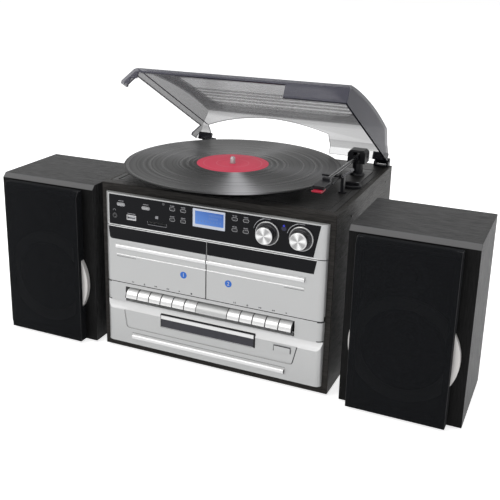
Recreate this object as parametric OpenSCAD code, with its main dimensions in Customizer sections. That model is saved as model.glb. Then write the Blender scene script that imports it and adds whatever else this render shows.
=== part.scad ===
// Stereo music centre: a record deck, two cassette decks, a disc drawer and a radio in one case,
// with a pair of loudspeakers beside it. X runs along the front, Y to the rear and Z up.
// Heights are written above the underside of the case and raised by the rubber feet at the end.

/* [Case] */
// Width of the case
case_w = 330; // [328:1:350]
// Height of the case without feet
case_h = 240; // [238:1:260]
// Depth of the case
case_d = 270; // [268:1:300]
// Thickness of the side boards
side_t = 9; // [6:0.5:12]
// Thickness of the top board
top_t = 11.5; // [9:0.5:14]
// Thickness of the bottom board
base_t = 10; // [8:0.5:10.5]
// Height of the rubber feet
foot_h = 3; // [2:0.5:8]
// Radius of the rubber feet
foot_r = 9; // [6:0.5:12]
// Thickness of the rear panel
rear_t = 3; // [2:0.5:4]
// Radius of the heads of the panel screws
screw_r = 3; // [2:0.5:4]

/* [Front moulding] */
// Dark strip left beside the moulding
fascia_side = 7.5; // [6:0.5:10]
// Underside of the moulding above the underside of the case
fascia_low = 11; // [10.5:0.5:14]
// Distance the moulding stands proud of the case
fascia_proud = 7; // [6:0.5:10]
// Width of the rounding at the two ends of the moulding
fascia_round = 9; // [5:0.5:10]
// Height of the disc drawer section
disc_sec_h = 62; // [60:0.5:66]
// Height of the key section
key_sec_h = 28.5; // [28:0.5:32]
// Height of the cassette door section
door_sec_h = 81.5; // [78:0.5:84]
// Height of the radio section
radio_sec_h = 45.5; // [44:0.5:50]
// Gap round the doors and between the sections
seam = 0.5; // [0.3:0.1:0.8]
// Thickness of the carrier plate behind the doors
carrier_t = 3; // [2:0.5:4]

/* [Radio] */
// Moulding left of the black window, measured from the side of the case
win_margin_l = 13; // [12:0.5:17]
// Moulding right of the black window at its top, measured from the side of the case
win_margin_r = 15; // [13:0.5:19]
// Distance the right edge leans in over the height of the radio section
win_lean = 8; // [0:1:14]
// Thickness of the window
win_t = 2; // [1.5:0.5:3]
// Distance of the left knob from the middle, as a share of the width of the case
knob_share = 0.2409; // [0.2259:0.005:0.2559]
// Distance between the knobs, as a share of the width of the case
knob_gap_share = 0.1348; // [0.1098:0.005:0.1398]
// Radius of a knob
knob_r = 11.2; // [8:0.2:13]
// Length of a knob in front of the moulding
knob_len = 14.5; // [8:0.5:18]
// Radius of the ring round a knob
knob_ring_r = 15.6; // [14:0.2:17]
// Width of the display
lcd_w = 46; // [38:0.5:48]
// Height of the display
lcd_h = 25; // [20:0.5:28]
// Width of a small button
oval_w = 7; // [5:0.5:9]
// Height of a small button
oval_h = 3.6; // [2.5:0.1:5]
// Width of the two long buttons
pill_w = 11.5; // [8:0.5:16]
// Travel of the buttons
push = 1; // [0.5:0.1:1.5]
// Bore of the headphone socket
jack_r = 1.8; // [1.6:0.05:3.2]

/* [Cassette decks] */
// Place of the gap between the doors, left of the middle
door_split = 3.8; // [0:0.1:8]
// Height of the round rib below the top edge of a door
rib_drop = 29; // [26:0.5:34]
// Radius of the round rib
rib_r = 3.3; // [2:0.1:4]
// Thickness of a door
door_t = 4; // [3:0.5:4.5]
// Width of a cassette pocket
pocket_w = 108; // [104:0.5:114]
// Depth of a cassette pocket
pocket_d = 15; // [13:0.5:18]
// Pitch of the keys
key_pitch = 17.9; // [16:0.1:18.4]
// Radius of the rounded face of a key
key_r = 12; // [9:0.5:12.5]
// Number of keys in the left row
keys_left = 6; // [6]
// Number of keys in the right row
keys_right = 5; // [5]
// Place of the left end of the left row, left of the middle
keys_x0 = 124; // [120:0.1:125]
// Place of the left end of the right row, right of the middle
keys_x1 = 28.2; // [27:0.1:32]

/* [Disc drawer] */
// Width of the drawer front
tray_w = 138.5; // [132:0.5:142]
// Height of the drawer front
tray_h = 18.5; // [17:0.5:20]
// Underside of the drawer front above the underside of the section
tray_low = 36; // [34:0.5:37]
// Place of the middle of the drawer, left of the middle
tray_x = 3; // [0:0.5:6]
// Depth of the drawer behind its front
tray_d = 140; // [130:1:150]
// Travel of the drawer
tray_travel = 125; // [60:1:128]
// Radius of the disc well
well_r = 61; // [60.5:0.5:63]
// Depth of the disc well
well_d = 5; // [4.5:0.5:6]

/* [Record deck] */
// Gap between the edge of the record and the line of the resting arm
arm_clear = 2.3; // [1.8:0.1:4]
// Place of the record's centre behind the front of the case
deck_y = 108.7; // [106:0.2:112]
// Radius of the record
record_r = 150.6; // [125:0.2:151]
// Thickness of the record
record_t = 2; // [1.5:0.1:3]
// Radius of the platter
platter_r = 98; // [92:0.5:104]
// Height of the platter
platter_h = 12; // [11:0.5:14]
// Thickness of the platter mat
mat_t = 1.5; // [1:0.1:3]
// Gap between the deck plate and the platter
platter_gap = 2.8; // [2:0.1:4]
// Radius of the platter's drive rim
drive_r = 80; // [76:0.5:82]
// Radius of the motor pulley
pulley_r = 4; // [3:0.1:5]
// Radius of the spindle
spindle_r = 3.55; // [3:0.01:3.6]
// Height of the spindle above the record
spindle_top = 9; // [6:0.5:14]
// Running gap round a shaft
fit_gap = 0.05; // [0.02:0.01:0.09]
// Thickness of the deck plate
plate_t = 4; // [3:0.5:5]

/* [Tone arm] */
// Distance of the arm from the right side of the case
arm_side = 32.5; // [29:0.5:34]
// Place of the arm's pivot behind the front of the case
arm_y = 199; // [196:1:206]
// Length from pivot to stylus
arm_len = 168; // [150:1:170]
// Height of the arm's centre line above the case
arm_z = 26; // [25:0.5:27]
// Radius of the arm tube
arm_r = 2.5; // [2:0.1:3.5]
// Width of the pivot cap
cap_w = 25; // [20:0.5:26]
// Height of the top of the pivot cap above the case
cap_top = 36.3; // [34:0.1:36.5]
// Radius of the speed selector
dial_r = 13; // [9:0.5:13.5]
// Distance of the arm rest in front of the pivot
rest_gap = 99; // [80:1:110]

/* [Lid] */
// Angle at which the lid stands open
lid_open = 28; // [15:1:40]
// Distance of the lid's left edge from the side of the case
lid_side_l = 18; // [17:1:21]
// Distance of the lid's right edge from the side of the case
lid_side_r = 3; // [2:1:5]
// Distance the closed lid reaches in front of the case
lid_over = 6; // [5:1:10]
// Height of the lid at its front above the pivot
lid_front_h = 20; // [18:0.5:26]
// Height of the lid's crown above the pivot
lid_crown_h = 35; // [34:0.5:44]
// Thickness of the lid's walls
lid_t = 2.5; // [2:0.1:2.6]
// Height of the pivot above the case
lid_pivot_z = 7; // [6.5:0.1:9]
// Gap between the closed lid's rim and the case
lid_gap = 3; // [2:0.1:4]
// Width of a hinge
hinge_w = 22; // [16:1:24]

/* [Loudspeakers] */
// Width of a loudspeaker
spk_w = 152; // [144:1:170]
// Height of a loudspeaker
spk_h = 232; // [220:1:250]
// Depth of a loudspeaker
spk_d = 129; // [110:1:180]
// Gap between the case and the right loudspeaker
spk_gap_r = 16.5; // [14:0.5:60]
// Gap between the case and the left loudspeaker
spk_gap_l = 14; // [12:0.5:60]
// Distance of the loudspeaker fronts in front of the case
spk_fwd = 3.6; // [0:0.1:10]
// Thickness of a loudspeaker's boards
spk_t = 10; // [8:0.5:14]
// Width of the slope along the top front edge
spk_slope = 6; // [2:0.5:9]
// Thickness of the grille frame
grille_t = 13.6; // [12:0.1:18]
// Width of the grille
grille_w = 122; // [114:1:128]
// Radius of the silver ring behind the grille
ring_r = 67; // [64:0.5:70]
// Distance the silver ring stands off the board
ring_h = 7; // [4:0.5:9]
// Height of the woofer's centre
woofer_z = 88; // [78:1:92]
// Radius of the woofer's cone
woofer_r = 46; // [36:1:50]
// Height of the tweeter's centre
tweeter_z = 182; // [172:1:190]
// Radius of the tweeter
tweeter_r = 24; // [18:0.5:26]

/* [Hidden] */
$fn = 64;

rest_clear = 0.3;

// Levels of the front moulding
key_low = fascia_low + disc_sec_h;
door_low = key_low + key_sec_h;
radio_low = door_low + door_sec_h;
fascia_top = radio_low + radio_sec_h;
radio_mid = radio_low + radio_sec_h / 2;
fascia_half = case_w / 2 - fascia_side;
inner_half = case_w / 2 - side_t - 1;

// Places of the controls, which spread with the width of the case
win_left = case_w / 2 - win_margin_l;
win_right = case_w / 2 - win_margin_r;
pocket_floor = -fascia_proud + win_t + 0.3;
window_front = pocket_floor - win_t;
pill_z = radio_mid + 8.2;
power_x = -0.3997 * case_w;
source_x = -0.2839 * case_w;
socket_z = radio_mid - 8.3;
card_z = radio_mid - 10.4;
jack_x = -0.4285 * case_w;
usb_x = -0.3512 * case_w;
usb_w = 12.6;
usb_h = 5.2;
card_x = -0.2327 * case_w;
card_w = 27;
card_h = 2.4;
lcd_x = -1;
lcd_z = radio_mid + 6.8;
knob_z = radio_mid + 1;
oval_up = radio_mid + 12.7;
oval_down = radio_mid - 1.7;
oval_x = [for (share = [-0.1636, -0.1152, 0.1061, 0.1527]) share * case_w];
function knob_at(i) = (knob_share + i * knob_gap_share) * case_w;
shaft_r = 3;
shaft_hole = shaft_r + fit_gap;
button_len = 7;
button_gap = 0.3;
knob_front_y = -fascia_proud - knob_len;
board_y = 14;
board_t = 1.6;

// Keys
key_gap = 0.4;
key_floor = key_low + 9;
key_back_y = -fascia_proud + 5.8;
key_front_y = key_back_y - key_r;
key_rod_y = 20;
key_rod_z = key_floor + 6;
key_rod_r = 1.5;
key_recess_top = key_floor + key_r + 2.4;
key_total = keys_right * key_pitch + keys_x1;

// Disc drawer
tray_z = fascia_low + tray_low;
tray_back_y = tray_d;
tray_deck_z = tray_z + 3;
tray_deck_t = well_d + 2.5;
tray_side = 2;
eject_x = fascia_half - 53.1;
eject_w = 22;
eject_h = 7.5;
eject_z = fascia_low + 38;
ledge_h = 12;

// Record deck
arm_x = case_w / 2 - arm_side;
deck_x = record_r + arm_clear - arm_x;
deck_top = case_h;
plate_margin_l = 5;
plate_margin_r = 7;
plate_front = 14;
plate_back = 5;
platter_low = deck_top + platter_gap;
platter_top = platter_low + platter_h;
record_low = platter_top + mat_t;
record_top = record_low + record_t;
platter_skin = 3;
belt_t = 0.8;
belt_h = 4;
belt_z = platter_low + 2.2;
belt_slip = 0.12;
pulley_gap = drive_r + belt_t + pulley_r + 3.4;
pulley_turn = 135;
pulley_x = -deck_x + pulley_gap * cos(pulley_turn);
pulley_y = deck_y + pulley_gap * sin(pulley_turn);
bearing_low = deck_top - 26;
label_r = 50;
motor_r = 17;
motor_h = 22;

// Tone arm
arm_axis_z = deck_top + arm_z;
cap_z = deck_top + cap_top;
cap_d = 22;
yoke_low = arm_axis_z - 8;
post_r = 5;
base_r = 11;
post_low = deck_top - 16;
tip_y = arm_y - arm_len;
tip_z = record_top + 2.2;
shell_len = 34;
shell_w = 14;
rest_y = arm_y - rest_gap;
arm_lower = 0.7;
shelf_z = arm_axis_z - arm_r - rest_clear - rest_gap * sin(arm_lower);
clip_x = arm_x + 9.5;
clip_z = arm_axis_z - 2.6;
clip_pin_r = 1;
clip_half = 9;
rest_w = 4;
clip_open = 55;
dial_x = case_w / 2 - plate_margin_r - dial_r - 1;
dial_y = 132;
dial_h = 7;

// Lid, in its own frame: forward from the pivot and up from it, when it is closed
lid_rim = lid_gap - lid_pivot_z;
lid_left = case_w / 2 - lid_side_l;
lid_right = case_w / 2 - lid_side_r;
lid_pivot_y = case_d - 4;
lid_len = lid_pivot_y + lid_over;
lid_pivot_h = case_h + lid_pivot_z;
crown_at = 105;
leaf_top = 7.5;
lid_rear = 20;
knuckle_r = 4.6;
pin_r = 2;
lid_skirt = 13.5;
hinge_x = [-lid_left + 15, lid_right - 11];
left_slope = 19;

// Loudspeakers
grille_off = -2.7;
grille_x = (spk_w - grille_w) / 2 + grille_off;
grille_top = spk_h - spk_slope - 2;
baffle_hole = woofer_r + 3;
grille_pad = 0.3;
driver_x = spk_w / 2;

// The frame's origin is the middle of the footprint of everything, on the surface it stands on
left_x = -case_w / 2 - spk_gap_l - spk_w;
right_x = case_w / 2 + spk_gap_r + spk_w;
front_y = min(deck_y - record_r, -spk_fwd - grille_t - grille_pad, key_front_y, knob_front_y);
rear_y = lid_pivot_y + knuckle_r;
origin_x = (left_x + right_x) / 2;
origin_y = (front_y + rear_y) / 2;

// Places a piece in the frame of the whole object
module placed() translate([-origin_x, -origin_y, foot_h]) children();

// A box given by its lowest corner and its highest corner
module span(low, high) translate(low) cube(high - low);

// A rounded bar lying along Y, as wide as w and as tall as h, centred on x and z
module slot_bar(x, z, w, h, y0, y1) {
    translate([x, y1, z]) rotate([90, 0, 0]) linear_extrude(y1 - y0) {
        for (side = [-1, 1]) translate([side * (w - h) / 2, 0]) circle(d = h);
        square([w - h, h], center = true);
    }
}

// A cylinder along Y
module rod_y(x, z, r, y0, y1) translate([x, y1, z]) rotate([90, 0, 0]) cylinder(r = r, h = y1 - y0);

// A cylinder along X
module rod_x(x0, x1, y, z, r) translate([x0, y, z]) rotate([0, 90, 0]) cylinder(r = r, h = x1 - x0);

// Outline of the moulding seen from above, from the case's front forwards
module fascia_plan(x0, x1) {
    steps = 8;
    arc = [for (i = [0 : steps]) [fascia_half - fascia_round * (1 - cos(90 * i / steps)),
        -fascia_proud * sin(90 * i / steps)]];
    intersection() {
        polygon(concat(arc, [for (i = [steps : -1 : 0]) [-arc[i][0], arc[i][1]]]));
        translate([x0, -fascia_proud - 1]) square([x1 - x0, fascia_proud + 2]);
    }
}

// One level of the moulding
module fascia_band(x0, x1, z0, z1) translate([0, 0, z0]) linear_extrude(z1 - z0) fascia_plan(x0, x1);

// Outline of the black window, between two levels, made smaller by a gap
module window_plan(z0, z1, gap) {
    function edge(z) = win_right - win_lean * (fascia_top - z) / radio_sec_h;
    polygon([[-win_left + gap, z0 + gap], [edge(z0) - gap, z0 + gap],
        [edge(z1) - gap, z1 - gap], [-win_left + gap, z1 - gap]]);
}

module window_block(z0, z1, gap, y0, y1)
    translate([0, y1, 0]) rotate([90, 0, 0]) linear_extrude(y1 - y0) window_plan(z0, z1, gap);

// Holes through the window and the moulding for the controls
module control_holes(y0, y1) {
    slot_bar(power_x, pill_z, pill_w + 2 * button_gap, oval_h + 2 * button_gap, y0, y1);
    slot_bar(source_x, pill_z, pill_w + 2 * button_gap, oval_h + 2 * button_gap, y0, y1);
    for (x = oval_x, z = [oval_up, oval_down])
        slot_bar(x, z, oval_w + 2 * button_gap, oval_h + 2 * button_gap, y0, y1);
    for (i = [0, 1]) rod_y(knob_at(i), knob_z, shaft_hole, y0, y1);
    span([lcd_x - lcd_w / 2, y0, lcd_z - lcd_h / 2], [lcd_x + lcd_w / 2, y1, lcd_z + lcd_h / 2]);
    rod_y(jack_x, socket_z, jack_r + 2, y0, y1);
    span([usb_x - usb_w / 2 - 1, y0, socket_z - usb_h / 2 - 1],
        [usb_x + usb_w / 2 + 1, y1, socket_z + usb_h / 2 + 1]);
    span([card_x - card_w / 2, y0, card_z - card_h / 2], [card_x + card_w / 2, y1, card_z + card_h / 2]);
}

module cabinet() color("#3a3733") placed() difference() {
    span([-case_w / 2, 0, 0], [case_w / 2, case_d, case_h]);
    span([-case_w / 2 + side_t, -1, base_t], [case_w / 2 - side_t, case_d + 1, case_h - top_t]);
    deck_recess(0);
    span([-inner_half + 12, plate_front + 12, case_h - top_t - 1],
        [inner_half - 3, case_d - plate_back - 20, case_h + 1]);
}

// Rebate in the top board, or the plate that lies in it when it is made smaller by a gap
module deck_recess(gap) span([-case_w / 2 + plate_margin_l + gap, plate_front + gap, deck_top - plate_t],
    [case_w / 2 - plate_margin_r - gap, case_d - plate_back - gap, deck_top + (gap > 0 ? 0 : 1)]);

module deck_plate() color("#2c2c2e") placed() difference() {
    union() {
        deck_recess(0.4);
        translate([-deck_x, deck_y, bearing_low]) cylinder(r = 9, h = platter_low - 1 - bearing_low);
        translate([-deck_x, deck_y, deck_top]) cylinder(r = 20, h = 1.2);
    }
    translate([-deck_x, deck_y, bearing_low + 3]) cylinder(r = spindle_r + fit_gap, h = 60);
    translate([arm_x, arm_y, post_low - 1]) cylinder(r = post_r + 2.5, h = 40);
    translate([dial_x, dial_y, deck_top - plate_t - 1]) cylinder(r = shaft_hole, h = 20);
    translate([pulley_x, pulley_y, deck_top - plate_t - 1]) cylinder(r = pulley_r + 2, h = 20);
    translate([0, plate_front + 6, deck_top - 0.8]) difference() {
        translate([-case_w / 2 + plate_margin_l + 8, 0, 0]) cube([case_w - plate_margin_l - plate_margin_r - 16,
            case_d - plate_front - plate_back - 40, 2]);
        translate([-case_w / 2 + plate_margin_l + 9.2, 1.2, -1]) cube([case_w - plate_margin_l
            - plate_margin_r - 18.4, case_d - plate_front - plate_back - 42.4, 4]);
    }
}

module rear_panel() color("#242424") placed() difference() {
    span([-case_w / 2 + side_t + 0.3, case_d - rear_t - 2, base_t + 0.3],
        [case_w / 2 - side_t - 0.3, case_d - 2, case_h - top_t - 0.3]);
    for (i = [0 : 13], j = [0, 1]) slot_bar(-78 + i * 12, 168 - j * 40, 8, 3, case_d - rear_t - 3, case_d);
    for (p = rear_panel_holes) rod_y(p[0], p[1], p[2], case_d - rear_t - 3, case_d);
    inlet_hole();
}

// Rear sockets: place along X, height and radius of the hole in the rear panel
socket_row_z = base_t + 44;
rear_panel_holes = [for (i = [0 : 3], j = [0, 1]) [-60 + i * 20, socket_row_z + j * 18, 5]];
inlet_x = inner_half - 45;
inlet_w = 24;
inlet_h = 14;
module inlet_hole() span([inlet_x - inlet_w / 2, case_d - rear_t - 3, socket_row_z - inlet_h / 2],
    [inlet_x + inlet_w / 2, case_d, socket_row_z + inlet_h / 2]);

module rear_sockets() color("#191919") placed() {
    for (p = rear_panel_holes) difference() {
        union() {
            rod_y(p[0], p[1], 4.7, case_d - 14, case_d - 1.5);
            rod_y(p[0], p[1], 6.5, case_d - 2, case_d - 1);
        }
        rod_y(p[0], p[1], 2, case_d - 11, case_d);
    }
    difference() {
        union() {
            span([inlet_x - inlet_w / 2 + 0.3, case_d - 20, socket_row_z - inlet_h / 2 + 0.3],
                [inlet_x + inlet_w / 2 - 0.3, case_d - 1, socket_row_z + inlet_h / 2 - 0.3]);
            span([inlet_x - inlet_w / 2 - 6, case_d - 2, socket_row_z - inlet_h / 2 - 1.5],
                [inlet_x + inlet_w / 2 + 6, case_d - 0.6, socket_row_z + inlet_h / 2 + 1.5]);
        }
        span([inlet_x - inlet_w / 2 + 3, case_d - 15, socket_row_z - inlet_h / 2 + 3],
            [inlet_x + inlet_w / 2 - 3, case_d + 1, socket_row_z + inlet_h / 2 - 3]);
    }
    for (i = [-1, 1]) rod_y(inlet_x + i * 4, socket_row_z, 1.2, case_d - 15.5, case_d - 8);
}

module rubber_feet() color("#1a1a1a") placed() {
    inset = 24;
    for (x = [-case_w / 2 + inset, case_w / 2 - inset], y = [inset, case_d - inset])
        translate([x, y, -foot_h]) cylinder(r = foot_r, h = foot_h);
    for (x0 = [left_x, right_x - spk_w], x = [20, spk_w - 20], y = [16, spk_d - 20])
        translate([x0 + x, y - spk_fwd, -foot_h]) cylinder(r = foot_r, h = foot_h);
}

module panel_screws() color("#111111") placed() {
    for (x = [-case_w / 2 + side_t + 8, case_w / 2 - side_t - 8],
        z = [base_t + 8, case_h / 2, case_h - top_t - 8])
        translate([x, case_d - 2, z]) rotate([-90, 0, 0]) difference() {
            cylinder(r1 = screw_r, r2 = screw_r * 0.6, h = 1.8);
            translate([0, 0, 0.9]) cube([1, screw_r * 1.3, 2], center = true);
            translate([0, 0, 0.9]) cube([screw_r * 1.3, 1, 2], center = true);
        }
}

module front_fascia() color("#c3c4c4") placed() {
    difference() {
        union() {
            fascia_band(-fascia_half, fascia_half, radio_low + seam, fascia_top);
            fascia_band(-fascia_half, fascia_half, key_low + seam, door_low - seam);
            span([-inner_half, 0, key_low + seam], [inner_half, carrier_t, fascia_top]);
            for (x = [-inner_half + 12, inner_half - 12], z = [radio_low + 8, fascia_top - 12])
                rod_y(x, z, 2.5, carrier_t - 1, board_y);
        }
        window_block(radio_low + seam, fascia_top, 1.6, -fascia_proud - 1, pocket_floor);
        control_holes(-fascia_proud - 1, carrier_t + 1);
        key_recess();
        for (side = [0, 1]) pocket_hole(side);
    }
    key_spacer();
    door_lugs();
}

// Recess in the moulding in which the keys stand
module key_recess() {
    span([-keys_x0 - 3, -fascia_proud - 1, key_low + 2], [key_total + 2.5, carrier_t - 1.5, key_recess_top]);
    span([-keys_x0 - 0.5, -fascia_proud, key_floor - 5], [-keys_x0 + keys_left * key_pitch + 0.5,
        carrier_t + 1, key_recess_top]);
    span([keys_x1 - 0.5, -fascia_proud, key_floor - 5], [key_total + 0.5, carrier_t + 1, key_recess_top]);
}

// Blank cover between the two rows of keys
module key_spacer() {
    difference() {
        translate([-keys_x0 + keys_left * key_pitch + key_gap, 0, 0]) rotate([90, 0, 90])
            linear_extrude(keys_x1 + keys_x0 - keys_left * key_pitch - 2 * key_gap) key_profile();
        span([-case_w, carrier_t - 1.5, 0], [case_w, case_d, case_h]);
    }
}

// Door halves: outer limit and inner limit along X
function door_x0(side) = side == 0 ? -fascia_half : -door_split + seam / 2;
function door_x1(side) = side == 0 ? -door_split - seam / 2 : fascia_half;
function pocket_x(side) = (door_x0(side) + door_x1(side)) / 2 + (side == 0 ? 2 : -2);

// Opening in the carrier plate through which a cassette holder reaches into its bay
module pocket_hole(side) span([pocket_x(side) - pocket_w / 2 - 6, -1, door_low + 3],
    [pocket_x(side) + pocket_w / 2 + 6, carrier_t + 1, radio_low - 4]);

// A cassette door with its ribs and the holder behind it
module door(side) {
    x0 = door_x0(side);
    x1 = door_x1(side);
    rib_x0 = side == 0 ? -fascia_half + 17.5 : x0 + 0.4;
    rib_x1 = side == 0 ? x1 - 0.4 : fascia_half - 26.5;
    rib_z = radio_low - rib_drop;
    half = pocket_w / 2 + 3;
    back = pocket_d + 1;
    floor_z = door_low + 6;
    difference() {
        union() {
            intersection() {
                fascia_band(x0, x1, door_low + seam, radio_low - seam);
                span([x0, -fascia_proud - 1, door_low], [x1, -0.5, radio_low]);
            }
            difference() {
                rod_x(rib_x0, rib_x1, -fascia_proud, rib_z, rib_r);
                span([rib_x0 - 1, -fascia_proud + 1, rib_z - 10], [rib_x1 + 1, carrier_t, rib_z + 10]);
            }
            rod_x(rib_x0, rib_x1, -fascia_proud, rib_z - 11.7, 0.9);
            translate([pocket_x(side), 0, floor_z]) {
                for (s = [-1, 1]) span([s * half - 1.5, -2, 0], [s * half + 1.5, back, 46]);
                span([-half, -2, 0], [half, back, 2]);
                span([-half, back - 2, 0], [half, back, 16]);
            }
        }
        span([x0 - 1, -fascia_proud + door_t, door_low - 1], [x1 + 1, 0, floor_z - 0.1]);
        for (x = lug_places(side)) span([x - lug_w / 2 - rest_clear, door_pin_y - knuckle - 0.2, door_low - 1],
            [x + lug_w / 2 + rest_clear, 0, door_pin_z + 2.2]);
    }
    for (x = lug_places(side)) rod_x(x - lug_w / 2 - 1, x + lug_w / 2 + 1, door_pin_y, door_pin_z, door_pin_r);
}

// Pins on which a door turns, and the lugs that hold them
door_pin_y = -fascia_proud + 2.2;
door_pin_z = door_low + 3;
door_pin_r = 0.7;
knuckle = 1.2;
lug_w = 4;
function lug_places(side) = [door_x0(side) + 18, door_x1(side) - 18];

// Lugs on the upper edge of the key section, one at each end of a door
module door_lugs() for (side = [0, 1], x = lug_places(side)) difference() {
    union() {
        rod_x(x - lug_w / 2, x + lug_w / 2, door_pin_y, door_pin_z, knuckle);
        span([x - lug_w / 2, door_pin_y + 0.3, door_low - seam - 1], [x + lug_w / 2, door_pin_y + knuckle + 0.6,
            door_pin_z]);
    }
    rod_x(x - lug_w, x + lug_w, door_pin_y, door_pin_z, door_pin_r + fit_gap);
}

module door_left() color("#bfc0c0") placed() door(0);
module door_right() color("#bfc0c0") placed() door(1);

// Section of a key: a quarter round in front and its lever behind
module key_profile() {
    steps = 10;
    polygon(concat([for (i = [0 : steps]) [key_back_y - key_r * cos(90 * i / steps),
        key_floor + key_r * sin(90 * i / steps)]],
        [[key_back_y + 1.5, key_floor + key_r], [key_back_y + 1.5, key_rod_z + 3], [key_rod_y, key_rod_z + 3],
        [key_rod_y, key_rod_z - 3], [key_back_y, key_floor]]));
}

module key(x0) {
    difference() {
        union() {
            translate([x0 + key_gap / 2, 0, 0]) rotate([90, 0, 90])
                linear_extrude(key_pitch - key_gap) key_profile();
            rod_x(x0 + key_gap / 2, x0 + key_pitch - key_gap / 2, key_rod_y, key_rod_z, 3);
        }
        rod_x(x0 - 1, x0 + key_pitch + 1, key_rod_y, key_rod_z, key_rod_r + fit_gap);
    }
}
module left_key(i) color("#d2d3d4") placed() key(-keys_x0 + i * key_pitch);
module right_key(i) color("#d2d3d4") placed() key(keys_x1 + i * key_pitch);

module radio_window() color("#1c1d22") placed() difference() {
    window_block(radio_low + seam, fascia_top, 1.7, window_front, pocket_floor);
    control_holes(window_front - 1, pocket_floor + 1);
    rod_y(jack_x, socket_z, jack_r + 2, window_front - 1, pocket_floor + 1);
}

module lcd_display() color("#6e96dc") placed() difference() {
    span([lcd_x - lcd_w / 2 + 0.2, window_front - 0.8, lcd_z - lcd_h / 2 + 0.2],
        [lcd_x + lcd_w / 2 - 0.2, carrier_t + 2, lcd_z + lcd_h / 2 - 0.2]);
    span([lcd_x - lcd_w / 2 + 2, window_front - 2, lcd_z - lcd_h / 2 + 5],
        [lcd_x + lcd_w / 2 - 2, window_front, lcd_z + lcd_h / 2 - 1.4]);
}

// Lower section with the sloping ledge, the slanted recess and the round rib
module disc_fascia() color("#c3c4c4") placed() difference() {
    union() {
        intersection() {
            fascia_band(-fascia_half, fascia_half, fascia_low, key_low - seam);
            ledge_block();
        }
        span([-inner_half, 0, fascia_low], [inner_half, carrier_t, key_low - seam]);
        difference() {
            rod_x(-fascia_half + 41, fascia_half - 49, -fascia_proud, fascia_low + 12, 3.6);
            span([-case_w, -fascia_proud + 1, 0], [case_w, carrier_t, case_h]);
        }
        for (s = [-1, 1]) rod_y(eject_x + s * (eject_w / 2 + 4), eject_z - 8, 2, carrier_t - 1, board_y);
    }
    span([-tray_x - tray_w / 2 - 0.6, -fascia_proud - 1, tray_z - 0.6],
        [-tray_x + tray_w / 2 + 0.6, carrier_t + 1, tray_z + tray_h + 0.6]);
    translate([0, -fascia_proud + 0.8, 0]) rotate([90, 0, 0]) linear_extrude(5)
        polygon([[-fascia_half + 32, fascia_low + 24.5], [fascia_half - 39, fascia_low + 24.5],
            [fascia_half - 33, key_low - seam - ledge_h + 0.5],
            [-fascia_half + 28, key_low - seam - ledge_h + 0.5]]);
    span([eject_x - eject_w / 2 - 0.3, -fascia_proud - 1, eject_z - 0.3],
        [eject_x + eject_w / 2 + 0.3, carrier_t + 1, eject_z + eject_h + 0.3]);
}

// The ledge slopes back over its height to the keys' section and is mitred at its ends
module ledge_block() {
    back = 5;
    top = key_low - seam;
    translate([-fascia_half - 1, 0, 0]) rotate([90, 0, 90]) linear_extrude(2 * fascia_half + 2)
        polygon([[-fascia_proud, fascia_low - 1], [1, fascia_low - 1], [1, top], [-fascia_proud + back, top],
            [-fascia_proud, top - ledge_h]]);
}

module disc_tray() color("#25262b") placed() {
    x0 = -tray_x - tray_w / 2;
    x1 = -tray_x + tray_w / 2;
    difference() {
        union() {
            span([x0, -fascia_proud - 0.6, tray_z], [x1, -fascia_proud + 4, tray_z + tray_h]);
            span([x0 + tray_side, -fascia_proud + 3, tray_deck_z],
                [x1 - tray_side, tray_back_y, tray_deck_z + tray_deck_t]);
        }
        translate([-tray_x, tray_back_y - well_r - 5, tray_deck_z + tray_deck_t - well_d])
            cylinder(r = well_r, h = 20);
        translate([-tray_x, tray_back_y - well_r - 5, tray_deck_z - 1]) cylinder(r = 20, h = 20);
    }
}

module disc_mechanism() color("#4a4a4c") placed() difference() {
    union() {
        for (s = [-1, 1], y = [30, tray_back_y - 20]) translate([-tray_x + s * (tray_w / 2 - 4), y, base_t])
            span([-5, 0, 0], [5, 12, tray_z - 5 - base_t]);
        span([-tray_x - tray_w / 2 - 6, carrier_t, tray_z - 6],
            [-tray_x + tray_w / 2 + 6, tray_back_y + 12, tray_z + tray_h + 1.4]);
    }
    span([-tray_x - tray_w / 2 + tray_side - 0.3, carrier_t - 1, tray_deck_z - 0.3],
        [-tray_x + tray_w / 2 - tray_side + 0.3, tray_back_y + 2, tray_z + tray_h - 2]);
}

module eject_button() color("#c8c9c9") placed()
    push_block(eject_x, eject_z, eject_w, eject_h, -fascia_proud - 0.4);

// A push button with square ends: its face and a short plunger behind
module push_block(x, z, w, h, front) {
    span([x - w / 2, front, z], [x + w / 2, carrier_t, z + h]);
    rod_y(x, z + h / 2, 2, carrier_t - 1, board_y - push - 0.3);
}

// A push button with round ends
module push_bar(x, z, w) {
    slot_bar(x, z, w, oval_h, window_front - 1, window_front + button_len);
    rod_y(x, z, 1.2, window_front + button_len - 1, board_y - push - 0.3);
}
module power_button() color("#8d8e90") placed() push_bar(power_x, pill_z, pill_w);
module source_button() color("#8d8e90") placed() push_bar(source_x, pill_z, pill_w);
// Small buttons, numbered along the row and then down
module small_button(i) color("#8d8e90") placed()
    push_bar(oval_x[i % 4], i < 4 ? oval_up : oval_down, oval_w);

// A round control: skirt, tapered grip and shaft
module knob(i) {
    x = knob_at(i);
    translate([x, window_front, knob_z]) rotate([90, 0, 0]) rotate_extrude() polygon([[0, 0.3],
        [knob_ring_r, 0.3], [knob_ring_r, 1.5], [knob_ring_r - 1.2, 2.8], [knob_r + 1.6, 3.2], [knob_r + 1, 5],
        [knob_r, knob_len - 1.6], [knob_r - 1.2, knob_len - 0.5], [0, knob_len - 0.5]]);
    rod_y(x, knob_z, shaft_r, window_front - 1, board_y - 1);
}
module volume_knob() color("#b9babc") placed() knob(0);
module tuning_knob() color("#b9babc") placed() knob(1);

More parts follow.
